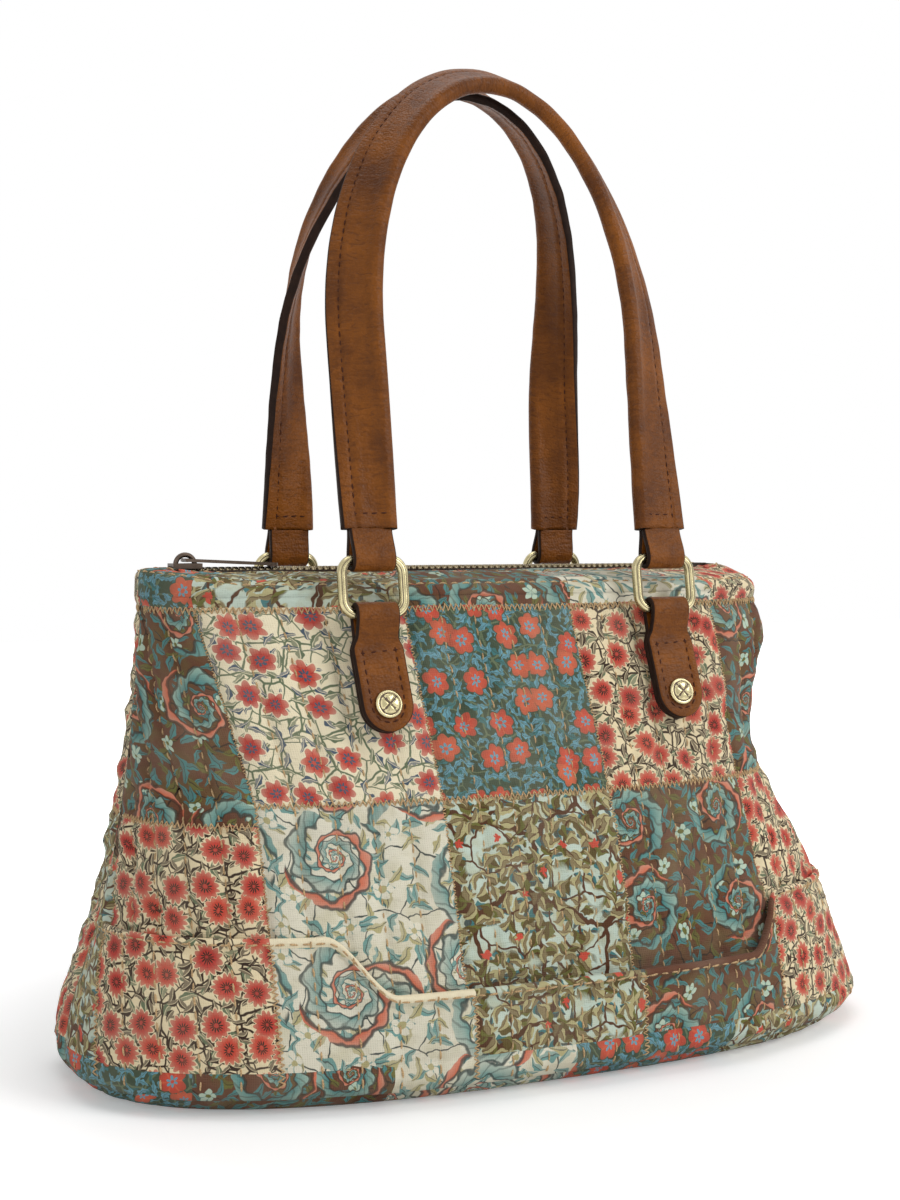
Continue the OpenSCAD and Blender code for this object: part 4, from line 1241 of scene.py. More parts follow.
class BAG_OT_facings(bpy.types.Operator):
    """Facings of the zip, from the shoulder seam in to the tapes"""

    bl_idname = "bag.facings"
    bl_label = "Facings"

    def execute(self, context):
        s = context.scene.bag_sizes
        for node, back, patches in (
            ("zip_facing_front", False, FRONT_PATCHES), ("zip_facing_back", True, BACK_PATCHES),
        ):
            facing = Facing(back)
            grid = joined(facing.outer, facing.inner)
            q = joined(facing.q, facing.inner_q)
            uv = stacked(np.broadcast_to(facing.c, q.shape), q)
            high = np.full((len(q), 1), s.body_h)
            kinds = patch_kinds(s, middles(facing.c), high, patches)
            piece = sheet_piece(node + "_cloth", grid, uv, COTTONS, kinds)
            belongs(piece, "bag", "facing", node)
        return {"FINISHED"}


class BAG_OT_base(bpy.types.Operator):
    """Flat base, sewn to the foot of both walls"""

    bl_idname = "bag.base"
    bl_label = "Base"

    def execute(self, context):
        s = context.scene.bag_sizes
        wall = Wall(False)
        rim = wall.base[0][::BASE_STRIDE]
        c = wall.c[::BASE_STRIDE]
        across = np.linspace(1, -1, BASE_ROWS)[:, None]
        y = rim[:, 1] * across
        under = stacked(np.broadcast_to(rim[:, 0], y.shape), y, 0 * y)
        over = under[::-1] + np.array((0, 0, s.wall))
        grid = joined(under, over)
        deep = joined(across[:, 0], across[::-1, 0]) * half_depth(s, s.corner_r)
        uv = np.stack(np.meshgrid(c, deep), -1)
        piece = sheet_piece("base_cloth", grid, uv, ["cotton brown scroll"])
        belongs(piece, "bag", "patchwork", "base_panel")
        return {"FINISHED"}


# Room between the lining and the wall, how far it stays in at the side seams, and its thickness
LINING_GAP = 1.4 * MM
LINING_INSET = 2 * MM
LINING_T = 0.8 * MM
LINING_STRIDE = 4


class BAG_OT_lining(bpy.types.Operator):
    """Lining cup that hangs inside the walls from the shoulder seam"""

    bl_idname = "bag.lining"
    bl_label = "Lining"

    def execute(self, context):
        s = context.scene.bag_sizes
        sides = []
        for back in (False, True):
            wall = Wall(back)
            pick = slice(None, None, LINING_STRIDE)
            base, normal = wall.base[pick, pick], wall.normal[pick, pick]
            near = ease(wall.to_seam[pick, pick] / (10 * MM))[..., None]
            inward = (s.wall + LINING_GAP) * near + LINING_INSET
            sides.append((base - normal * inward, base - normal * (inward + LINING_T * near)))
            for grid in sides[-1]:
                grid[..., 2] = np.clip(grid[..., 2], s.wall + LINING_GAP, shoulder_z(s) - 1 * MM)
        outer = joined(sides[0][0][::-1], sides[1][0])
        inner = joined(sides[1][1][::-1], sides[0][1])
        inner[..., 2] += LINING_T
        grid = joined(outer, inner)
        c = wall.c[::LINING_STRIDE]
        run = joined(np.arange(len(outer)), np.arange(len(inner))[::-1]) * ROW * LINING_STRIDE
        uv = np.stack(np.meshgrid(c, run), -1)
        piece = sheet_piece("lining_cloth", grid, uv, ["twill lining"])
        belongs(piece, "bag", "lining", "lining")
        return {"FINISHED"}


# The zip

TAPE_STEP = 2 * MM
TAPE_ROWS = 6
TAPE_SINKS = 0.6 * MM
TAPE_UNEVEN = 0.12 * MM
# Width of the tape's edge that lies inside the facing's seam
TAPE_HIDDEN = 0.6 * MM
TOOTH_W = 1.3 * MM


def tape_piece(node):
    """A woven zip tape, a little uneven along its length."""
    low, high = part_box(node)
    # The edge of the tape inside the facing's seam isn't made
    inside = bpy.context.scene.bag_sizes.mouth_half - TAPE_HIDDEN
    low.y, high.y = max(low.y, -inside), min(high.y, inside)
    x = np.arange(low.x, high.x, TAPE_STEP)
    share = np.linspace(0, 1, TAPE_ROWS)[:, None]
    y = low.y + (high.y - low.y) * share + 0 * x
    uneven = TAPE_UNEVEN * waves(x + 0 * share, y, 20 * MM, 81)
    top = stacked(x + 0 * y, y, high.z - TAPE_SINKS + uneven)
    under = stacked(x + 0 * y, y, low.z - TAPE_SINKS + uneven)[::-1]
    grid = joined(top, under)
    uv = stacked(grid[..., 0], grid[..., 1])
    piece = sheet_piece(node + "_cloth", grid, uv, ["woven zip tape"])
    belongs(piece, "bag", "zip_tape", node)
    return piece


def line_object(name, lines, ups):
    """Loose lines as a mesh, each point with the direction that faces away from its surface."""
    mesh = bpy.data.meshes.new(name)
    edges, first = [], 0
    for line in lines:
        edges += [(first + i, first + i + 1) for i in range(len(line) - 1)]
        first += len(line)
    mesh.from_pydata(np.concatenate(lines).tolist(), edges, [])
    mesh.attributes.new("up", "FLOAT_VECTOR", "POINT").data.foreach_set("vector", np.concatenate(ups).ravel())
    return new_object(name, mesh)


def repeat_tree(name, *floats, **others):
    """A Geometry Nodes tree with named inputs; returns the tree and its input sockets by name."""
    inputs = dict.fromkeys(floats, "NodeSocketFloat") | others | {"Material": "NodeSocketMaterial"}
    tree = bpy.data.node_groups.new(name, "GeometryNodeTree")
    tree.interface.new_socket("Geometry", in_out="INPUT", socket_type="NodeSocketGeometry")
    for label, kind in inputs.items():
        tree.interface.new_socket(label, in_out="INPUT", socket_type=kind)
    tree.interface.new_socket("Geometry", in_out="OUTPUT", socket_type="NodeSocketGeometry")
    given = tree.nodes.new("NodeGroupInput")
    return tree, {socket.name: socket for socket in given.outputs}


def line_points(tree, given):
    """Points along the lines of a piece, with the rotation that lies along the line and faces up."""
    curve = add(tree, "GeometryNodeMeshToCurve", given["Geometry"])
    points = add(tree, "GeometryNodeCurveToPoints", curve, None, given["Pitch"], mode="LENGTH")
    up = add(tree, "GeometryNodeInputNamedAttribute", "up", data_type="FLOAT_VECTOR")
    along = points.node.outputs["Tangent"]
    turn = add(tree, "FunctionNodeAxesToRotation", along, up, primary_axis="X", secondary_axis="Z")
    return points, turn


def finish_tree(tree, points, stitch, turn, scale, material):
    """Places a repeat on its points, turns it into plain mesh and gives it its material."""
    placed = add(tree, "GeometryNodeInstanceOnPoints", points, None, stitch, None, None, turn, scale)
    real = add(tree, "GeometryNodeRealizeInstances", placed)
    soft = add(tree, "GeometryNodeSetShadeSmooth", real)
    add(tree, "NodeGroupOutput", add(tree, "GeometryNodeSetMaterial", soft, None, material))


def stitch_tree():
    """A thread stitch at each step of every line, straight or swaying from side to side."""
    tree, given = repeat_tree("stitches", "Pitch", "Long", "Thick", "Sway", Seed="NodeSocketInt")
    points, turn = line_points(tree, given)
    parity = add(tree, "MODULO", add(tree, "GeometryNodeInputIndex"), 2.0)
    side = add(tree, "MULTIPLY_ADD", parity, 2.0, -1.0)
    loose = add(tree, "FunctionNodeRandomValue", out=1, named={2: -0.12, 3: 0.12, 8: given["Seed"]})
    sway = add(tree, "MULTIPLY_ADD", side, given["Sway"], loose)
    twist = add(tree, "FunctionNodeAxisAngleToRotation", (0, 0, 1), sway)
    turn = add(tree, "FunctionNodeRotateRotation", turn, twist, rotation_space="LOCAL")
    half = add(tree, "MULTIPLY", given["Long"], 0.5)
    start = add(tree, COMBINE, add(tree, "MULTIPLY", half, -1.0))
    line = add(tree, "GeometryNodeCurvePrimitiveLine", start, add(tree, COMBINE, half))
    line = add(tree, "GeometryNodeResampleCurve", line, None, 5)
    share = add(tree, "GeometryNodeSplineParameter")
    centred = add(tree, "MULTIPLY_ADD", share, 2.0, -1.0)
    square = add(tree, "MULTIPLY", centred, centred)
    sunk = add(tree, "MULTIPLY", add(tree, "MULTIPLY", square, -1.3), given["Thick"])
    offset = add(tree, COMBINE, None, None, sunk)
    line = add(tree, "GeometryNodeSetPosition", line, None, None, offset)
    round_edge = add(tree, "GeometryNodeCurvePrimitiveCircle", 5, named={"Radius": given["Thick"]})
    slim = add(tree, "MULTIPLY_ADD", square, -0.35, 1.0)
    thread = add(tree, "GeometryNodeCurveToMesh", line, round_edge, slim, True)
    size = add(tree, "FunctionNodeRandomValue", out=1, named={2: 0.86, 3: 1.1, 8: given["Seed"]})
    finish_tree(tree, points, thread, turn, size, given["Material"])
    return tree


def tooth_tree():
    """A metal tooth at each step of a line, lying across it."""
    tree, given = repeat_tree("zip teeth", "Pitch", "Long", "Wide", "High")
    points, turn = line_points(tree, given)
    bar = add(tree, "GeometryNodeMeshCylinder", 12, 1, 1, 0.5, 1.0)
    flat = add(tree, "GeometryNodeTransform", bar, None, (pi / 2, 0, 0))
    size = add(tree, COMBINE, given["Wide"], given["Long"], given["High"])
    finish_tree(tree, points, flat, turn, size, given["Material"])
    return tree


def repeat_along(name, lines, ups, tree, **values):
    """Repeats a tree's shape along lines and returns the plain mesh piece."""
    piece = line_object(name, lines, ups)
    repeat = piece.modifiers.new(name, "NODES")
    repeat.node_group = tree
    for socket in tree.interface.items_tree:
        if socket.in_out == "INPUT" and socket.name in values:
            repeat[socket.identifier] = values[socket.name]
    return settle(piece)


class BAG_OT_zip(bpy.types.Operator):
    """Woven tapes, metal teeth, slider, pull and stops of the zip"""

    bl_idname = "bag.zip"
    bl_label = "Zip"

    def execute(self, context):
        s = context.scene.bag_sizes
        tree = tooth_tree()
        for side in ("front", "back"):
            tape_piece("zip_tape_" + side)
            node = "zip_teeth_" + side
            low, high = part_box(node)
            middle = ((low.y + high.y) / 2, (low.z + high.z) / 2)
            ends = (low.x + TOOTH_W / 2, high.x - TOOTH_W / 2)
            line = np.array([(ends[0], *middle), (ends[1], *middle)])
            teeth = repeat_along(
                node + "_metal", [line], [np.array([(0, 0, 1.0)] * 2)], tree, Pitch=s.tooth_pitch,
                Long=high.y - low.y, Wide=TOOTH_W, High=high.z - low.z, Material=finish("aged zip brass"),
            )
            belongs(teeth, "bag", "zip_metal", node)
        for node in ("zip_slider", "zip_pull", "zip_stops"):
            metal = frame["nodes"][node]
            metal.data.materials.clear()
            metal.data.materials.append(finish("antique dark brass"))
        return {"FINISHED"}


# Leather tabs, loops and handles, with their rings and rivets

SIDES = (("left", -1), ("right", 1))
FACES = (("front", False), ("back", True))
# Edge bevel, dark where the paint wraps over it
BEVEL = 0.6 * MM
# A tab's border: height, where it has risen and starts to fall from the edge, and the groove of its stitching
BORDER_HIGH = 0.35 * MM
BORDER_RISE = 1.2 * MM
BORDER_FALL = 3.2 * MM
BORDER_SOFT = 0.9 * MM
BORDER_STITCH = 4.0 * MM
BORDER_GROOVE = 0.3 * MM
BORDER_GROOVE_WIDE = 0.6 * MM
# From a ring's bar down to the rivet
RIVET_DROP = 38.5 * MM
# A rivet's cap: fall of its dome, place, width and depth of the groove inside its rim, and its cross
DOME_FALL = 0.93
RIM_AT = 0.78
RIM_WIDE = 0.07
RIM_DEEP = 0.55 * MM
CROSS_WIDE = 0.55 * MM
CROSS_DEEP = 0.7 * MM
RING_STEPS = 240
WIRE_SIDES = 40
# Grooves round a ring's wire: their places round it, width, and depth as a share of its radius
GROOVES_AT = (1.15, 1.99, 4.29, 5.13)
GROOVE_WIDE = 0.13
GROOVE_DEEP = 0.11
HANDLE_STEPS = 300
HANDLE_UNEVEN = 0.12 * MM
# Place, depth and width of the groove along a handle, and of the soft ridge beside it
HANDLE_GROOVE = 6.6 * MM
HANDLE_GROOVE_DEEP = 0.55 * MM
HANDLE_GROOVE_WIDE = 0.8 * MM
RIDGE_AT = 3.5 * MM
RIDGE_HIGH = 0.3 * MM
RIDGE_WIDE = 1.8 * MM
HANDLE_END_STITCH = 5 * MM
# The handles lean in over the zip
HANDLE_LEAN = math.radians(10.41)
HANDLES = (("front", False, "front_twist", 0), ("back", True, "back_twist", 1))


def tab_lean(s):
    """Lean of the tabs, laid on the wall below the rings' bars."""
    k = bpy.context.scene.bag_leather
    spots = [bar_x(side) for _, side in SIDES]
    low, high = (max(face_depth(s, x, LOWER_BAR[2] - drop) for x in spots) for drop in (k.tab_l, 0))
    return math.atan2(low - high, k.tab_l)


def bar_x(side):
    """Place across the bag of a ring's middle."""
    return LOWER_BAR[0] + side * bpy.context.scene.bag_leather.tab_x


def to_bag(points, bar, side, lean, back):
    """Moves points from a bar's own frame on to the bag, leaned inwards; the back is the front mirrored."""
    x, y, z = (points[..., i] for i in range(3))
    turned_y = y * math.cos(lean) + z * math.sin(lean)
    turned_z = z * math.cos(lean) - y * math.sin(lean)
    centre = bar[0] + side * bpy.context.scene.bag_leather.tab_x
    depth = (turned_y + bar[1]) * (-1 if back else 1)
    return stacked(x + centre, depth, turned_z + bar[2])


def swung(k, points, swing):
    """Points of a tab swung to the right about the foot of its fold."""
    x, y, z = (points[..., i] for i in range(3))
    drop = -k.fold_l - z
    return stacked(
        x * np.cos(swing) + drop * np.sin(swing), y, -k.fold_l - drop * np.cos(swing) + x * np.sin(swing),
    )


def strap_rings(y, z, half, relief, twist):
    """Rings of a leather strap along a line in the YZ plane, with its half widths, outer relief and swing."""
    k = bpy.context.scene.bag_leather
    step = unit(stacked(np.gradient(y), np.gradient(z)))
    out = stacked(step[:, 1], -step[:, 0])
    inner = np.linspace(-1, 1, 23)
    a = np.concatenate([
        -half[:, None], (half - np.minimum(BEVEL, half / 3))[:, None] * inner, half[:, None],
    ], 1)
    high = np.full(a.shape, k.leather / 2) + relief(a)
    high[:, (0, -1)] = k.leather / 2 - BEVEL
    low = np.full(a.shape, -k.leather / 2)
    low[:, (0, -1)] = -k.leather / 2 + BEVEL / 2
    a = np.concatenate([a, a[:, ::-1]], 1)
    h = np.concatenate([high, low[:, ::-1]], 1)
    py, pz = y[:, None] + out[:, :1] * h, z[:, None] + out[:, 1:] * h
    count = len(inner) + 2
    kinds = np.zeros(2 * count, int)
    kinds[[0, count - 2, count - 1, count, 2 * count - 2, 2 * count - 1]] = 1
    run = run_along(stacked(y, z))
    return swung(k, stacked(a, py, pz), twist[:, None]), run, kinds


def tab_path():
    """Line of a tab from the foot of its back layer over the bar and down its front, and its half widths."""
    k = bpy.context.scene.bag_leather
    r = k.bar_bore + k.leather / 2
    front = r - k.leather
    end = np.linspace(1.53, 0, 12)[:-1]
    end_z = -RIVET_DROP - k.tab_w / 2 * np.sin(end)
    leg = np.linspace(-RIVET_DROP, 0, 26)[:-1]
    arc = np.linspace(0, pi, 15)
    fold = np.linspace(0, -k.fold_l, 14)[1:]
    down = np.linspace(-k.fold_l, -RIVET_DROP, 18)[1:]
    y = joined(
        np.full(len(end) + len(leg), r), r * np.cos(arc), -r + (front + r) * ease(-fold / k.fold_l),
        np.full(len(down) + len(end), front),
    )
    z = joined(end_z, leg, r * np.sin(arc), fold, down, end_z[::-1])
    half = (k.loop_w + (k.tab_w - k.loop_w) * ease((-z - 9 * MM) / (6 * MM))) / 2
    past = np.clip(-z - RIVET_DROP, 0, k.tab_w / 2)
    half = np.where(past > 0, np.sqrt((k.tab_w / 2) ** 2 - past ** 2), half)
    on_front = np.arange(len(z)) >= len(end) + len(leg) + len(arc)
    return y, z, half, on_front


def tab_relief(z, half, on_front):
    """Relief on a tab's face: a raised border, the dip of its stitching and a flat middle."""
    k = bpy.context.scene.bag_leather
    past = np.clip(-z - RIVET_DROP, 0, None)[:, None]
    shown = (on_front * ease((-z - k.fold_l) / (4 * MM)))[:, None]

    def relief(a):
        inset = np.where(past > 0, k.tab_w / 2 - np.hypot(a, past), half[:, None] - np.abs(a))
        border = BORDER_HIGH * ease(inset / BORDER_RISE) * (1 - ease((inset - BORDER_FALL) / BORDER_SOFT))
        groove = BORDER_GROOVE * bell(inset - BORDER_STITCH, BORDER_GROOVE_WIDE)
        return shown * (border - groove)

    return relief


class BAG_OT_tabs(bpy.types.Operator):
    """Four leather tabs, folded round their rings, with domed rivets"""

    bl_idname = "bag.tabs"
    bl_label = "Tabs"

    def execute(self, context):
        s, k = context.scene.bag_sizes, context.scene.bag_leather
        y, z, half, on_front = tab_path()
        swing = k.tab_swing * ease((-z - k.fold_l + 3 * MM) / (6 * MM))
        rings, run, kinds = strap_rings(y, z, half, tab_relief(z, half, on_front), swing)
        lean = tab_lean(s)
        for face, back in FACES:
            for label, side in SIDES:
                node = f"tab_{face}_{label}"
                placed = to_bag(rings, LOWER_BAR, side, lean, back)
                piece = tube_piece(node + "_leather", placed, run, kinds, LEATHERS)
                belongs(piece, "bag", "leather", node)
                self.rivet(k, f"rivet_{face}_{label}", side, lean, back)
        return {"FINISHED"}

    def rivet(self, k, node, side, lean, back):
        """A cast rivet cap: a rim round four raised lobes, parted by a cross."""
        reach = np.linspace(0, 1, 26)[:, None]
        turn = np.linspace(0, 2 * pi, 49)
        x, z = k.rivet_r * reach * np.cos(turn), k.rivet_r * reach * np.sin(turn)
        dome = k.rivet_h * np.sqrt(np.clip(1 - DOME_FALL * reach ** 2, 0, 1)) + 0 * turn
        cross = np.minimum(np.abs(x + z), np.abs(x - z)) / math.sqrt(2)
        inside = 1 - ease((reach - 0.72) / 0.1)
        high = dome - CROSS_DEEP * bell(cross, CROSS_WIDE) * inside
        high -= RIM_DEEP * bell(reach - RIM_AT, RIM_WIDE)
        seat = -(k.bar_bore + k.leather / 2 - 1.5 * k.leather)
        skirt = stacked(x[-1], np.full(len(turn), 0.0), z[-1])[None]
        grid = joined(stacked(x, -high, z), skirt)
        grid[..., 1] += seat
        drop = RIVET_DROP - k.fold_l
        grid[..., 0] += drop * math.sin(k.tab_swing)
        grid[..., 2] -= k.fold_l + drop * math.cos(k.tab_swing)
        placed = to_bag(grid, LOWER_BAR, side, lean, back)
        uv = stacked(np.broadcast_to(turn, x.shape), 0 * x + reach) * k.rivet_r
        uv = joined(uv, uv[-1:])
        deep = joined((dome - high)[1:, 1:] > 0.4 * MM, np.zeros((1, len(turn) - 1), bool))
        piece = sheet_piece(node + "_metal", placed, uv, METALS, deep.astype(int), wrap=False)
        outward = 1 if back else -1
        if sum(face.normal.y for face in piece.data.polygons) * outward < 0:
            piece.data.flip_normals()
        belongs(piece, "bag", "pale_brass", node)


class BAG_OT_rings(bpy.types.Operator):
    """Four rings of heavy grooved wire between the tabs and the handles"""

    bl_idname = "bag.rings"
    bl_label = "Rings"

    def execute(self, context):
        k = context.scene.bag_leather
        corner = k.ring_corner
        wide, tall = k.ring_w / 2, k.ring_h / 2
        turn = np.linspace(0, pi / 2, 13)
        spots = []
        for quarter, (cx, cz) in enumerate(((1, 1), (-1, 1), (-1, -1), (1, -1))):
            a = turn + quarter * pi / 2
            spots.append(stacked(
                cx * (wide - corner) + corner * np.cos(a), cz * (tall - corner) + corner * np.sin(a),
            ))
        line = np.concatenate(spots + [spots[0][:1]])
        run = run_along(line)
        at = np.linspace(0, run[-1], RING_STEPS, endpoint=False)
        x, z = (np.interp(at, run, line[:, i]) for i in (0, 1))
        step = unit(stacked(np.roll(x, -1) - np.roll(x, 1), np.roll(z, -1) - np.roll(z, 1)))
        side = np.linspace(0, 2 * pi, WIRE_SIDES, endpoint=False)
        from_groove = [np.angle(np.exp(1j * (side - spot))) / GROOVE_WIDE for spot in GROOVES_AT]
        grooves = sum(np.exp(-(off ** 2)) for off in from_groove)
        dark = grooves > 0.55
        thick = k.ring_wire * (1 - GROOVE_DEEP * grooves)
        out, front = thick * np.cos(side), thick * np.sin(side)
        rings = stacked(
            x[:, None] + step[:, 1:] * out, -front + 0 * x[:, None],
            z[:, None] - step[:, :1] * out + k.ring_h / 2,
        )
        for face, back in FACES:
            for label, way in SIDES:
                node = f"ring_{face}_{label}"
                placed = to_bag(rings, LOWER_BAR, way, k.ring_lean, back)
                piece = tube_piece(node + "_metal", placed, at, dark.astype(int), METALS, closed=True)
                belongs(piece, face + "_rings", "pale_brass", node)
        return {"FINISHED"}


def handle_line(k, bow):
    """Stations along a handle in its own frame: places, headings, share of the way to the top, and run."""
    leg = np.linspace(k.loop_h, k.leg_h, 200)
    arch = np.linspace(pi, 0, 600)[1:-1]
    x = joined(np.full(200, -k.tab_x), k.tab_x * np.cos(arch), np.full(200, k.tab_x))
    h = joined(leg, k.leg_h + k.arch_h * np.sin(arch), leg[::-1])
    run = run_along(stacked(x, h))
    at = np.linspace(0, run[-1], HANDLE_STEPS)
    x, h = np.interp(at, run, x), np.interp(at, run, h)
    head = unit(stacked(np.gradient(x), np.gradient(h)))
    y = -bow * np.sin(pi * h / (k.leg_h + k.arch_h)) ** 2
    return stacked(x, y, h), head, 1 - np.abs(2 * at / at[-1] - 1), at


def handle_half(k, a):
    """Half thickness of a handle across its width: stitched edge, groove, soft ridge and neck of the roll."""
    edge = k.edge_t / 2
    neck_from, neck_to = -2 * MM, -(k.strap_w / 2 - k.roll_r) + k.roll_r / 2
    neck = np.clip((neck_from - a) / (neck_from - neck_to), 0, 1) ** 2
    half = edge + (k.roll_r * math.sin(pi / 3) - edge) * neck
    half = half - HANDLE_GROOVE_DEEP * bell(a - HANDLE_GROOVE, HANDLE_GROOVE_WIDE)
    half = half + RIDGE_HIGH * bell(a - RIDGE_AT, RIDGE_WIDE)
    return half - 0.25 * MM * ease((a - k.strap_w / 2 + 2 * MM) / (2 * MM))


def handle_frame(k, twist, bow):
    """Places along a handle with the directions across the strap and through it."""
    spot, head, share, at = handle_line(k, bow)
    turned = twist * np.sin(pi / 2 * share)
    outward = stacked(-head[:, 1], 0 * turned, head[:, 0])
    side, up = np.cos(turned)[:, None], np.sin(turned)[:, None]
    across = outward * side + np.array((0, 1.0, 0)) * up
    through = np.array((0, -1.0, 0)) * side + outward * up
    return spot, across, through, at


class BAG_OT_handles(bpy.types.Operator):
    """Two twisted leather handles with a rolled and a stitched edge, and the loops that hold them"""

    bl_idname = "bag.handles"
    bl_label = "Handles"

    def execute(self, context):
        k = context.scene.bag_leather
        flat = np.linspace(k.strap_w / 2, -(k.strap_w / 2 - k.roll_r) + k.roll_r / 2, 30)
        roll = np.linspace(pi / 3, pi, 12)[1:]
        a = joined(flat, -(k.strap_w / 2 - k.roll_r) + k.roll_r * np.cos(roll))
        h = joined(handle_half(k, flat), k.roll_r * np.sin(roll))
        h[0] -= BEVEL
        a = joined(a, a[-2::-1])
        h = joined(h, -h[-2::-1])
        kinds = np.zeros(len(a), int)
        kinds[[0, -1, -2]] = 1
        for face, back, twist, bowed in HANDLES:
            spot, across, through, at = handle_frame(k, getattr(k, twist), k.back_bow * bowed)
            rings = spot[:, None] + across[:, None] * a[:, None] + through[:, None] * h[:, None]
            uneven = waves(at[:, None], a + h, 24 * MM, 91 + bowed, stretch=0.6)
            rings = rings + through[:, None] * (HANDLE_UNEVEN * uneven)[..., None]
            placed = to_bag(rings, UPPER_BAR, 0, HANDLE_LEAN, back)
            piece = tube_piece(f"handle_{face}_leather", placed, at, kinds, LEATHERS)
            belongs(piece, face + "_handle", "leather", "handle_" + face)
            for label, side in SIDES:
                self.loop(k, f"loop_{face}_{label}", side, back, face + "_handle")
        return {"FINISHED"}

    def loop(self, k, node, side, back, body):
        """The leather fold that joins a handle's end to its ring."""
        r = k.bar_bore + k.leather / 2
        down = np.linspace(k.loop_h, 0, 14)[:-1]
        arc = np.linspace(pi, 2 * pi, 17)
        meet = k.leather / 2 + (r - k.leather / 2) * (1 - ease(down / k.loop_h))
        y = joined(-meet, r * np.cos(arc), meet[::-1])
        z = joined(down, r * np.sin(arc), down[::-1])
        half = np.full(len(z), k.loop_w / 2)
        rings, run, kinds = strap_rings(y, z, half, lambda a: 0 * a, 0 * z)
        placed = to_bag(rings, UPPER_BAR, side, HANDLE_LEAN, back)
        piece = tube_piece(node + "_leather", placed, run, kinds, LEATHERS)
        belongs(piece, body, "leather", node)


# Stitches

# Kinds of stitches: distance from one to the next, length, radius of the thread, and sway in radians
RUNNING = (5.4 * MM, 3.7 * MM, 0.46 * MM, 0.0)
ZIGZAG = (1.25 * MM, 3.9 * MM, 0.32 * MM, 1.15)
SADDLE = (3.9 * MM, 2.9 * MM, 0.36 * MM, 0.0)
LINE_STEP = 2 * MM
STITCH_LIFT = 0.3 * MM
TAB_STITCH_LIFT = 0.05 * MM
HANDLE_STITCH_LIFT = 0.1 * MM


def wall_line(wall, c, q):
    """A line on a wall's outer cloth, cut where it runs into a side seam, and its outward directions."""
    clear = wall.at(wall.to_seam, c, q) > 3 * MM
    if clear.sum() < 4:
        return None
    c, q = c[clear], q[clear]
    up = wall.at(wall.normal, c, q)
    return wall.at(wall.outer, c, q) + up * STITCH_LIFT, up


def thread_piece(name, found, tree, kind, body="bag", slot="patchwork", thread="cream cotton thread", seed=1):
    """One body's stitches of one kind, along all the lines found for them."""
    pitch, long, thick, sway = kind
    lines = [pair for pair in found if pair is not None]
    piece = repeat_along(
        name, [p for p, _ in lines], [u for _, u in lines], tree, Pitch=pitch, Long=long, Thick=thick,
        Sway=sway, Seed=seed, Material=finish(thread),
    )
    return belongs(piece, body, slot)


class BAG_OT_stitches(bpy.types.Operator):
    """Rows of quilting, zigzag over the patch seams, and topstitching on the pocket and facings"""

    bl_idname = "bag.stitches"
    bl_label = "Stitches"

    def execute(self, context):
        s = context.scene.bag_sizes
        tree = stitch_tree()
        for face, back in FACES:
            wall = Wall(back)
            rows, seams = self.wall_lines(s, wall)
            facing = Facing(back)
            for share in (TOPSTITCH_LOW, TOPSTITCH_HIGH):
                row = np.argmin(np.abs(facing.share - share))
                keep = wall.to_seam[-1] > 4 * MM
                up = facing.normal[row][keep]
                rows.append((facing.outer[row][keep] + up * STITCH_LIFT, up))
            if not back:
                self.pocket_lines(s, wall, rows, seams)
            thread_piece(face + "_quilting_thread", rows, tree, RUNNING, seed=3 + back)
            thread_piece(face + "_seam_thread", seams, tree, ZIGZAG, seed=5 + back)
        return {"FINISHED"}

    def row_numbers(self, s, wall):
        """Numbers of the rows of quilting on a wall, counted from the first patch seam."""
        count = int((wall.c[-1] - wall.c[0]) / s.channel) + 2
        first = math.ceil((wall.c[0] - s.first_seam) / s.channel)
        return range(first, first + count)

    def wall_lines(self, s, wall):
        """Lines of quilting and of zigzag seams on one wall."""
        q = np.arange(SEAM_BASE, SEAM_TOP, LINE_STEP)
        per_patch = round(s.patch / s.channel)
        rows, seams = [], []
        for number in self.row_numbers(s, wall):
            line = wall_line(wall, np.full(len(q), s.first_seam + number * s.channel), q)
            (rows if number % per_patch else seams).append(line)
        c = np.arange(wall.c[0], wall.c[-1], LINE_STEP)
        left = c < s.first_seam
        seams.append(wall_line(wall, c, np.full(len(c), SEAM_TOP)))
        seams.append(wall_line(wall, c[left], np.full(left.sum(), SEAM_MIDDLE - LEFT_DROP)))
        seams.append(wall_line(wall, c[~left], np.full((~left).sum(), SEAM_MIDDLE)))
        return rows, seams

    def pocket_lines(self, s, wall, rows, seams):
        """Lines of stitching on the pocket: its quilting, its patch seams and the row below its hem."""
        grid, q = pocket_grid(s, wall)
        outer = grid[:POCKET_ROWS]
        normal = wall.at(wall.normal, np.broadcast_to(wall.c, q.shape), q)[:POCKET_ROWS]
        lifted = outer + normal * STITCH_LIFT
        top = pocket_top(s, wall)
        clear = wall.at(wall.to_seam, wall.c, np.full(len(wall.c), s.pocket_mouth)) > 10 * MM
        share = (top - POCKET_STITCH - q[0]) / (q[POCKET_ROWS - 1] - q[0]) * (POCKET_ROWS - 1)
        row = np.clip(np.round(share).astype(int), 0, POCKET_ROWS - 1)
        column = np.arange(len(wall.c))
        rows.append((lifted[row, column][clear], normal[row, column][clear]))
        per_patch = round(s.patch / s.channel)
        for number in self.row_numbers(s, wall):
            place = s.first_seam + number * s.channel
            spot = int(np.argmin(np.abs(wall.c - place)))
            if abs(wall.c[spot] - place) < COLUMN and clear[spot]:
                line = (lifted[3:row[spot], spot], normal[3:row[spot], spot])
                (rows if number % per_patch else seams).append(line)


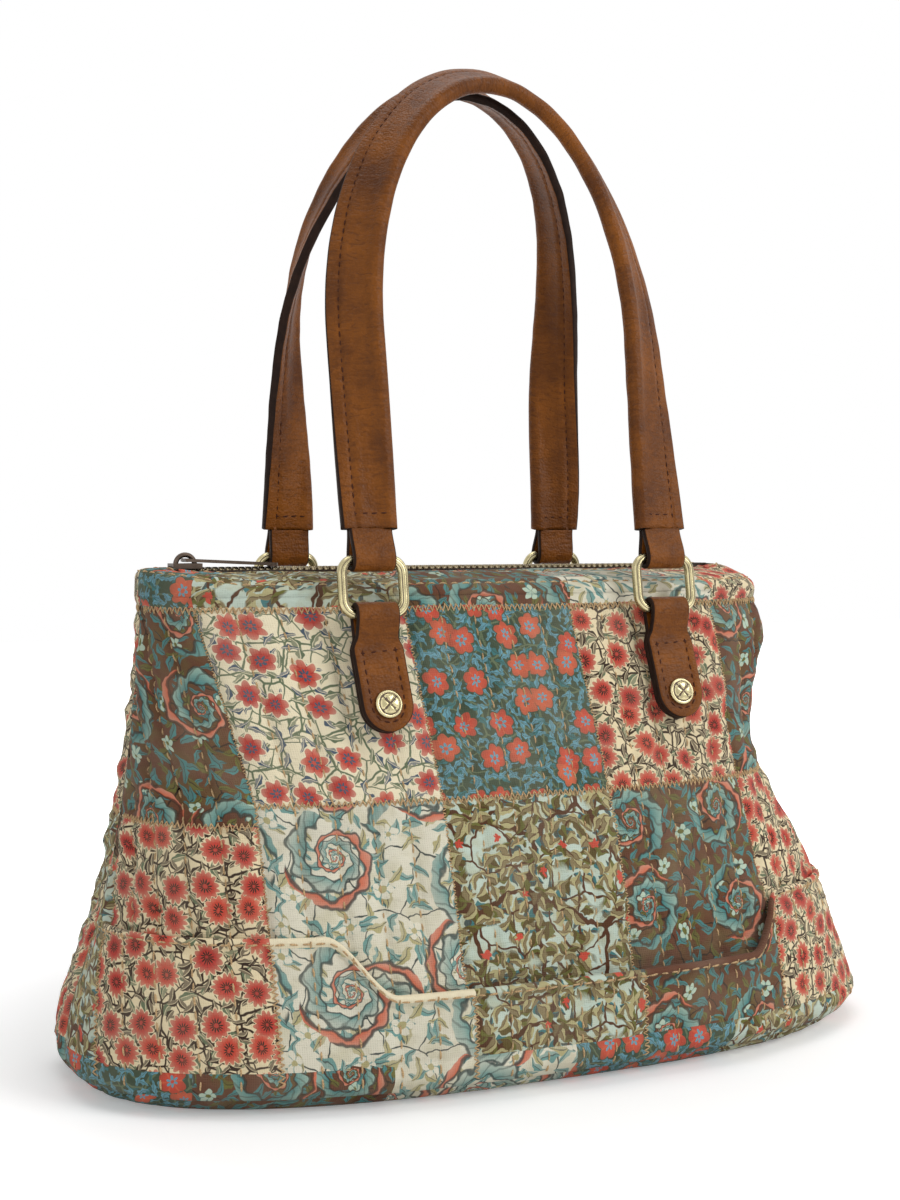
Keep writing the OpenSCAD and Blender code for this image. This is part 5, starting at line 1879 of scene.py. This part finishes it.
class BAG_OT_leather_stitches(bpy.types.Operator):
    """Brown stitching in the tabs and along the handles"""

    bl_idname = "bag.leather_stitches"
    bl_label = "Leather Stitches"

    def execute(self, context):
        s, k = context.scene.bag_sizes, context.scene.bag_leather
        tree = bpy.data.node_groups["stitches"]
        lean = tab_lean(s)
        tabs = []
        for _, back in FACES:
            for _, side in SIDES:
                tabs += self.tab_lines(k, side, lean, back)
        thread_piece("tab_thread", tabs, tree, SADDLE, slot="leather", thread="brown waxed thread", seed=11)
        for face, back, twist, bowed in HANDLES:
            lines = self.handle_lines(k, getattr(k, twist), k.back_bow * bowed, back)
            thread_piece(
                face + "_handle_thread", lines, tree, SADDLE, body=face + "_handle", slot="leather",
                thread="brown waxed thread", seed=13 + bowed,
            )
        return {"FINISHED"}

    def tab_lines(self, k, side, lean, back):
        """The stitched border of a tab and the row across it below the fold."""
        reach = k.tab_w / 2 - BORDER_STITCH
        end = np.linspace(pi, 2 * pi, 24)
        top = -k.fold_l - 2 * MM
        legs = np.linspace(top, -RIVET_DROP, 14)
        x = joined(np.full(14, -reach), reach * np.cos(end), np.full(14, reach))
        z = joined(legs, -RIVET_DROP + reach * np.sin(end), legs[::-1])
        row_x = np.linspace(-reach, reach, 9)
        found = []
        for px, pz in ((x, z), (row_x, np.full(9, top))):
            level = k.bar_bore - k.leather - TAB_STITCH_LIFT
            line = swung(k, stacked(px, np.full(len(px), level), pz), k.tab_swing)
            line = to_bag(line, LOWER_BAR, side, lean, back)
            out = to_bag(np.array([(0, -1.0, 0), (0, 0, 0)]), LOWER_BAR, side, lean, back)
            found.append((line, np.tile(out[0] - out[1], (len(line), 1))))
        return found

    def handle_lines(self, k, twist, bow, back):
        """Stitching along a handle's groove on both sides, and across its two ends."""
        spot, across, through, at = handle_frame(k, twist, bow)
        origin = to_bag(np.zeros(3), UPPER_BAR, 0, HANDLE_LEAN, back)
        found = []
        keep = (at > HANDLE_END_STITCH) & (at < at[-1] - HANDLE_END_STITCH)
        for face in (1, -1):
            high = handle_half(k, np.array(HANDLE_GROOVE)) + HANDLE_STITCH_LIFT
            line = spot + across * HANDLE_GROOVE + through * (face * high)
            found.append((line[keep], (face * through)[keep]))
            for station in (int(np.argmax(keep)), len(keep) - 1 - int(np.argmax(keep[::-1]))):
                a = np.linspace(HANDLE_GROOVE, -6 * MM, 8)
                high = handle_half(k, a) + HANDLE_STITCH_LIFT
                row = spot[station] + across[station] * a[:, None] + through[station] * (face * high)[:, None]
                found.append((row, np.tile(face * through[station], (8, 1))))
        placed = [[to_bag(part, UPPER_BAR, 0, HANDLE_LEAN, back) for part in pair] for pair in found]
        return [(line, up - origin) for line, up in placed]


# Camera, light and floor

CAMERA_AT = (-0.3619, -0.7520, 0.2342)
CAMERA_TURN = math.radians(-24.87)
CAMERA_DOWN = math.radians(2.23)
LENS_MM = 54.0
FLOOR_HALF = 3.0
# Distances from the bag where the floor starts and ends its fade to white
FLOOR_FADE = (0.2, 0.45)
# Light of the background and of the floor near the bag, against the white that the camera sees
WORLD_DIM = 0.36
FLOOR_GLOW = 0.26
# Name, place, aim, size and watts of each lamp
LAMPS = (
    ("key light", (1.2, -1.4, 1.2), (0, 0, 0.15), 1.0, 19.0),
    ("fill light", (-1.5, -1.2, 0.9), (0, 0, 0.15), 1.6, 6.5),
    ("top light", (0.1, 0.2, 1.8), (0, 0, 0.1), 1.4, 11.0),
)


def white_to_the_eye(tree, dim, bright):
    """A strength that is one value for light and another for what the camera and shiny things see."""
    path = tree.nodes.new("ShaderNodeLightPath")
    seen = path.outputs["Is Camera Ray"]
    for ray in ("Is Glossy Ray", "Is Transmission Ray"):
        seen = add(tree, "MAXIMUM", seen, path.outputs[ray])
    return add(tree, RANGE, seen, 0.0, 1.0, dim, bright)


class BAG_OT_stage(bpy.types.Operator):
    """Camera at the photo's angle, soft studio light, white background and a pale floor"""

    bl_idname = "bag.stage"
    bl_label = "Stage"

    def execute(self, context):
        scene = context.scene
        scene.view_settings.view_transform = "Standard"
        lens = bpy.data.cameras.new("photo camera")
        lens.lens = LENS_MM
        camera = new_object("photo camera", lens)
        camera.location = CAMERA_AT
        camera.rotation_euler = (pi / 2 - CAMERA_DOWN, 0, CAMERA_TURN)
        scene.camera = camera
        for name, place, aim, size, watts in LAMPS:
            lamp = bpy.data.lights.new(name, "AREA")
            lamp.size = size
            lamp.energy = watts
            holder = new_object(name, lamp)
            holder.location = place
            way = np.array(aim) - np.array(place)
            flat = math.hypot(way[0], way[1])
            holder.rotation_euler = (math.atan2(flat, -way[2]), 0, math.atan2(-way[0], way[1]))
        world = bpy.data.worlds.new("white studio")
        world.use_nodes = True
        tree = world.node_tree
        tree.nodes.clear()
        sky = add(tree, "ShaderNodeBackground", (1, 1, 1, 1), white_to_the_eye(tree, WORLD_DIM, 1.0))
        add(tree, "ShaderNodeOutputWorld", sky)
        scene.world = world
        paper, tree = new_material("white paper floor")
        # The flat paper floor glows up to white away from the bag, to meet the white background
        place = add(tree, COORDS, out="Object")
        away = add(tree, VECTOR, place, operation="LENGTH", out="Value")
        lit = add(tree, RANGE, away, *FLOOR_FADE, FLOOR_GLOW, 1.0)
        finish_shader(tree, {
            "Base Color": (0.9, 0.9, 0.9, 1), "Roughness": 0.9, "Specular IOR Level": 0.1,
            "Emission Color": (1, 1, 1, 1),
            "Emission Strength": add(tree, "MULTIPLY", lit, white_to_the_eye(tree, 0.0, 1.0)),
        })
        corners = [(x * FLOOR_HALF, y * FLOOR_HALF, 0) for x, y in ((-1, -1), (1, -1), (1, 1), (-1, 1))]
        mesh = bpy.data.meshes.new("floor")
        mesh.from_pydata(corners, [], [(0, 1, 2, 3)])
        mesh.materials.append(paper)
        floor = new_object("floor", mesh)
        return {"FINISHED"}


class BAG_PT_panel(bpy.types.Panel):
    """Sizes and colours of the handbag, with a button for each of its parts"""

    bl_idname = "BAG_PT_panel"
    bl_label = "Handbag"
    bl_space_type = "VIEW_3D"
    bl_region_type = "UI"
    bl_category = "Handbag"

    def draw(self, context):
        for group, kind in GROUPS.items():
            values = getattr(context.scene, group)
            for name in kind.__annotations__:
                self.layout.prop(values, name)
        for operator in OPERATORS:
            self.layout.operator(operator.bl_idname)


OPERATORS = (
    BAG_OT_stage, BAG_OT_walls, BAG_OT_pocket, BAG_OT_facings, BAG_OT_base, BAG_OT_lining, BAG_OT_zip,
    BAG_OT_tabs, BAG_OT_rings, BAG_OT_handles, BAG_OT_stitches, BAG_OT_leather_stitches,
)
CLASSES = (*GROUPS.values(), *OPERATORS, BAG_PT_panel)


def register():
    """Adds the operators, the panel and the settings."""
    for kind in CLASSES:
        bpy.utils.register_class(kind)
    for name, kind in GROUPS.items():
        setattr(bpy.types.Scene, name, PointerProperty(type=kind))


def unregister():
    """Takes away what register added."""
    for name in GROUPS:
        delattr(bpy.types.Scene, name)
    for kind in reversed(CLASSES):
        bpy.utils.unregister_class(kind)


def main():
    """Builds the whole bag in order."""
    register()
    for operator in OPERATORS:
        group, name = operator.bl_idname.split(".")
        if getattr(getattr(bpy.ops, group), name)() != {"FINISHED"}:
            raise RuntimeError(f"{operator.bl_label} could not finish")


if __name__ == "__main__":
    main()
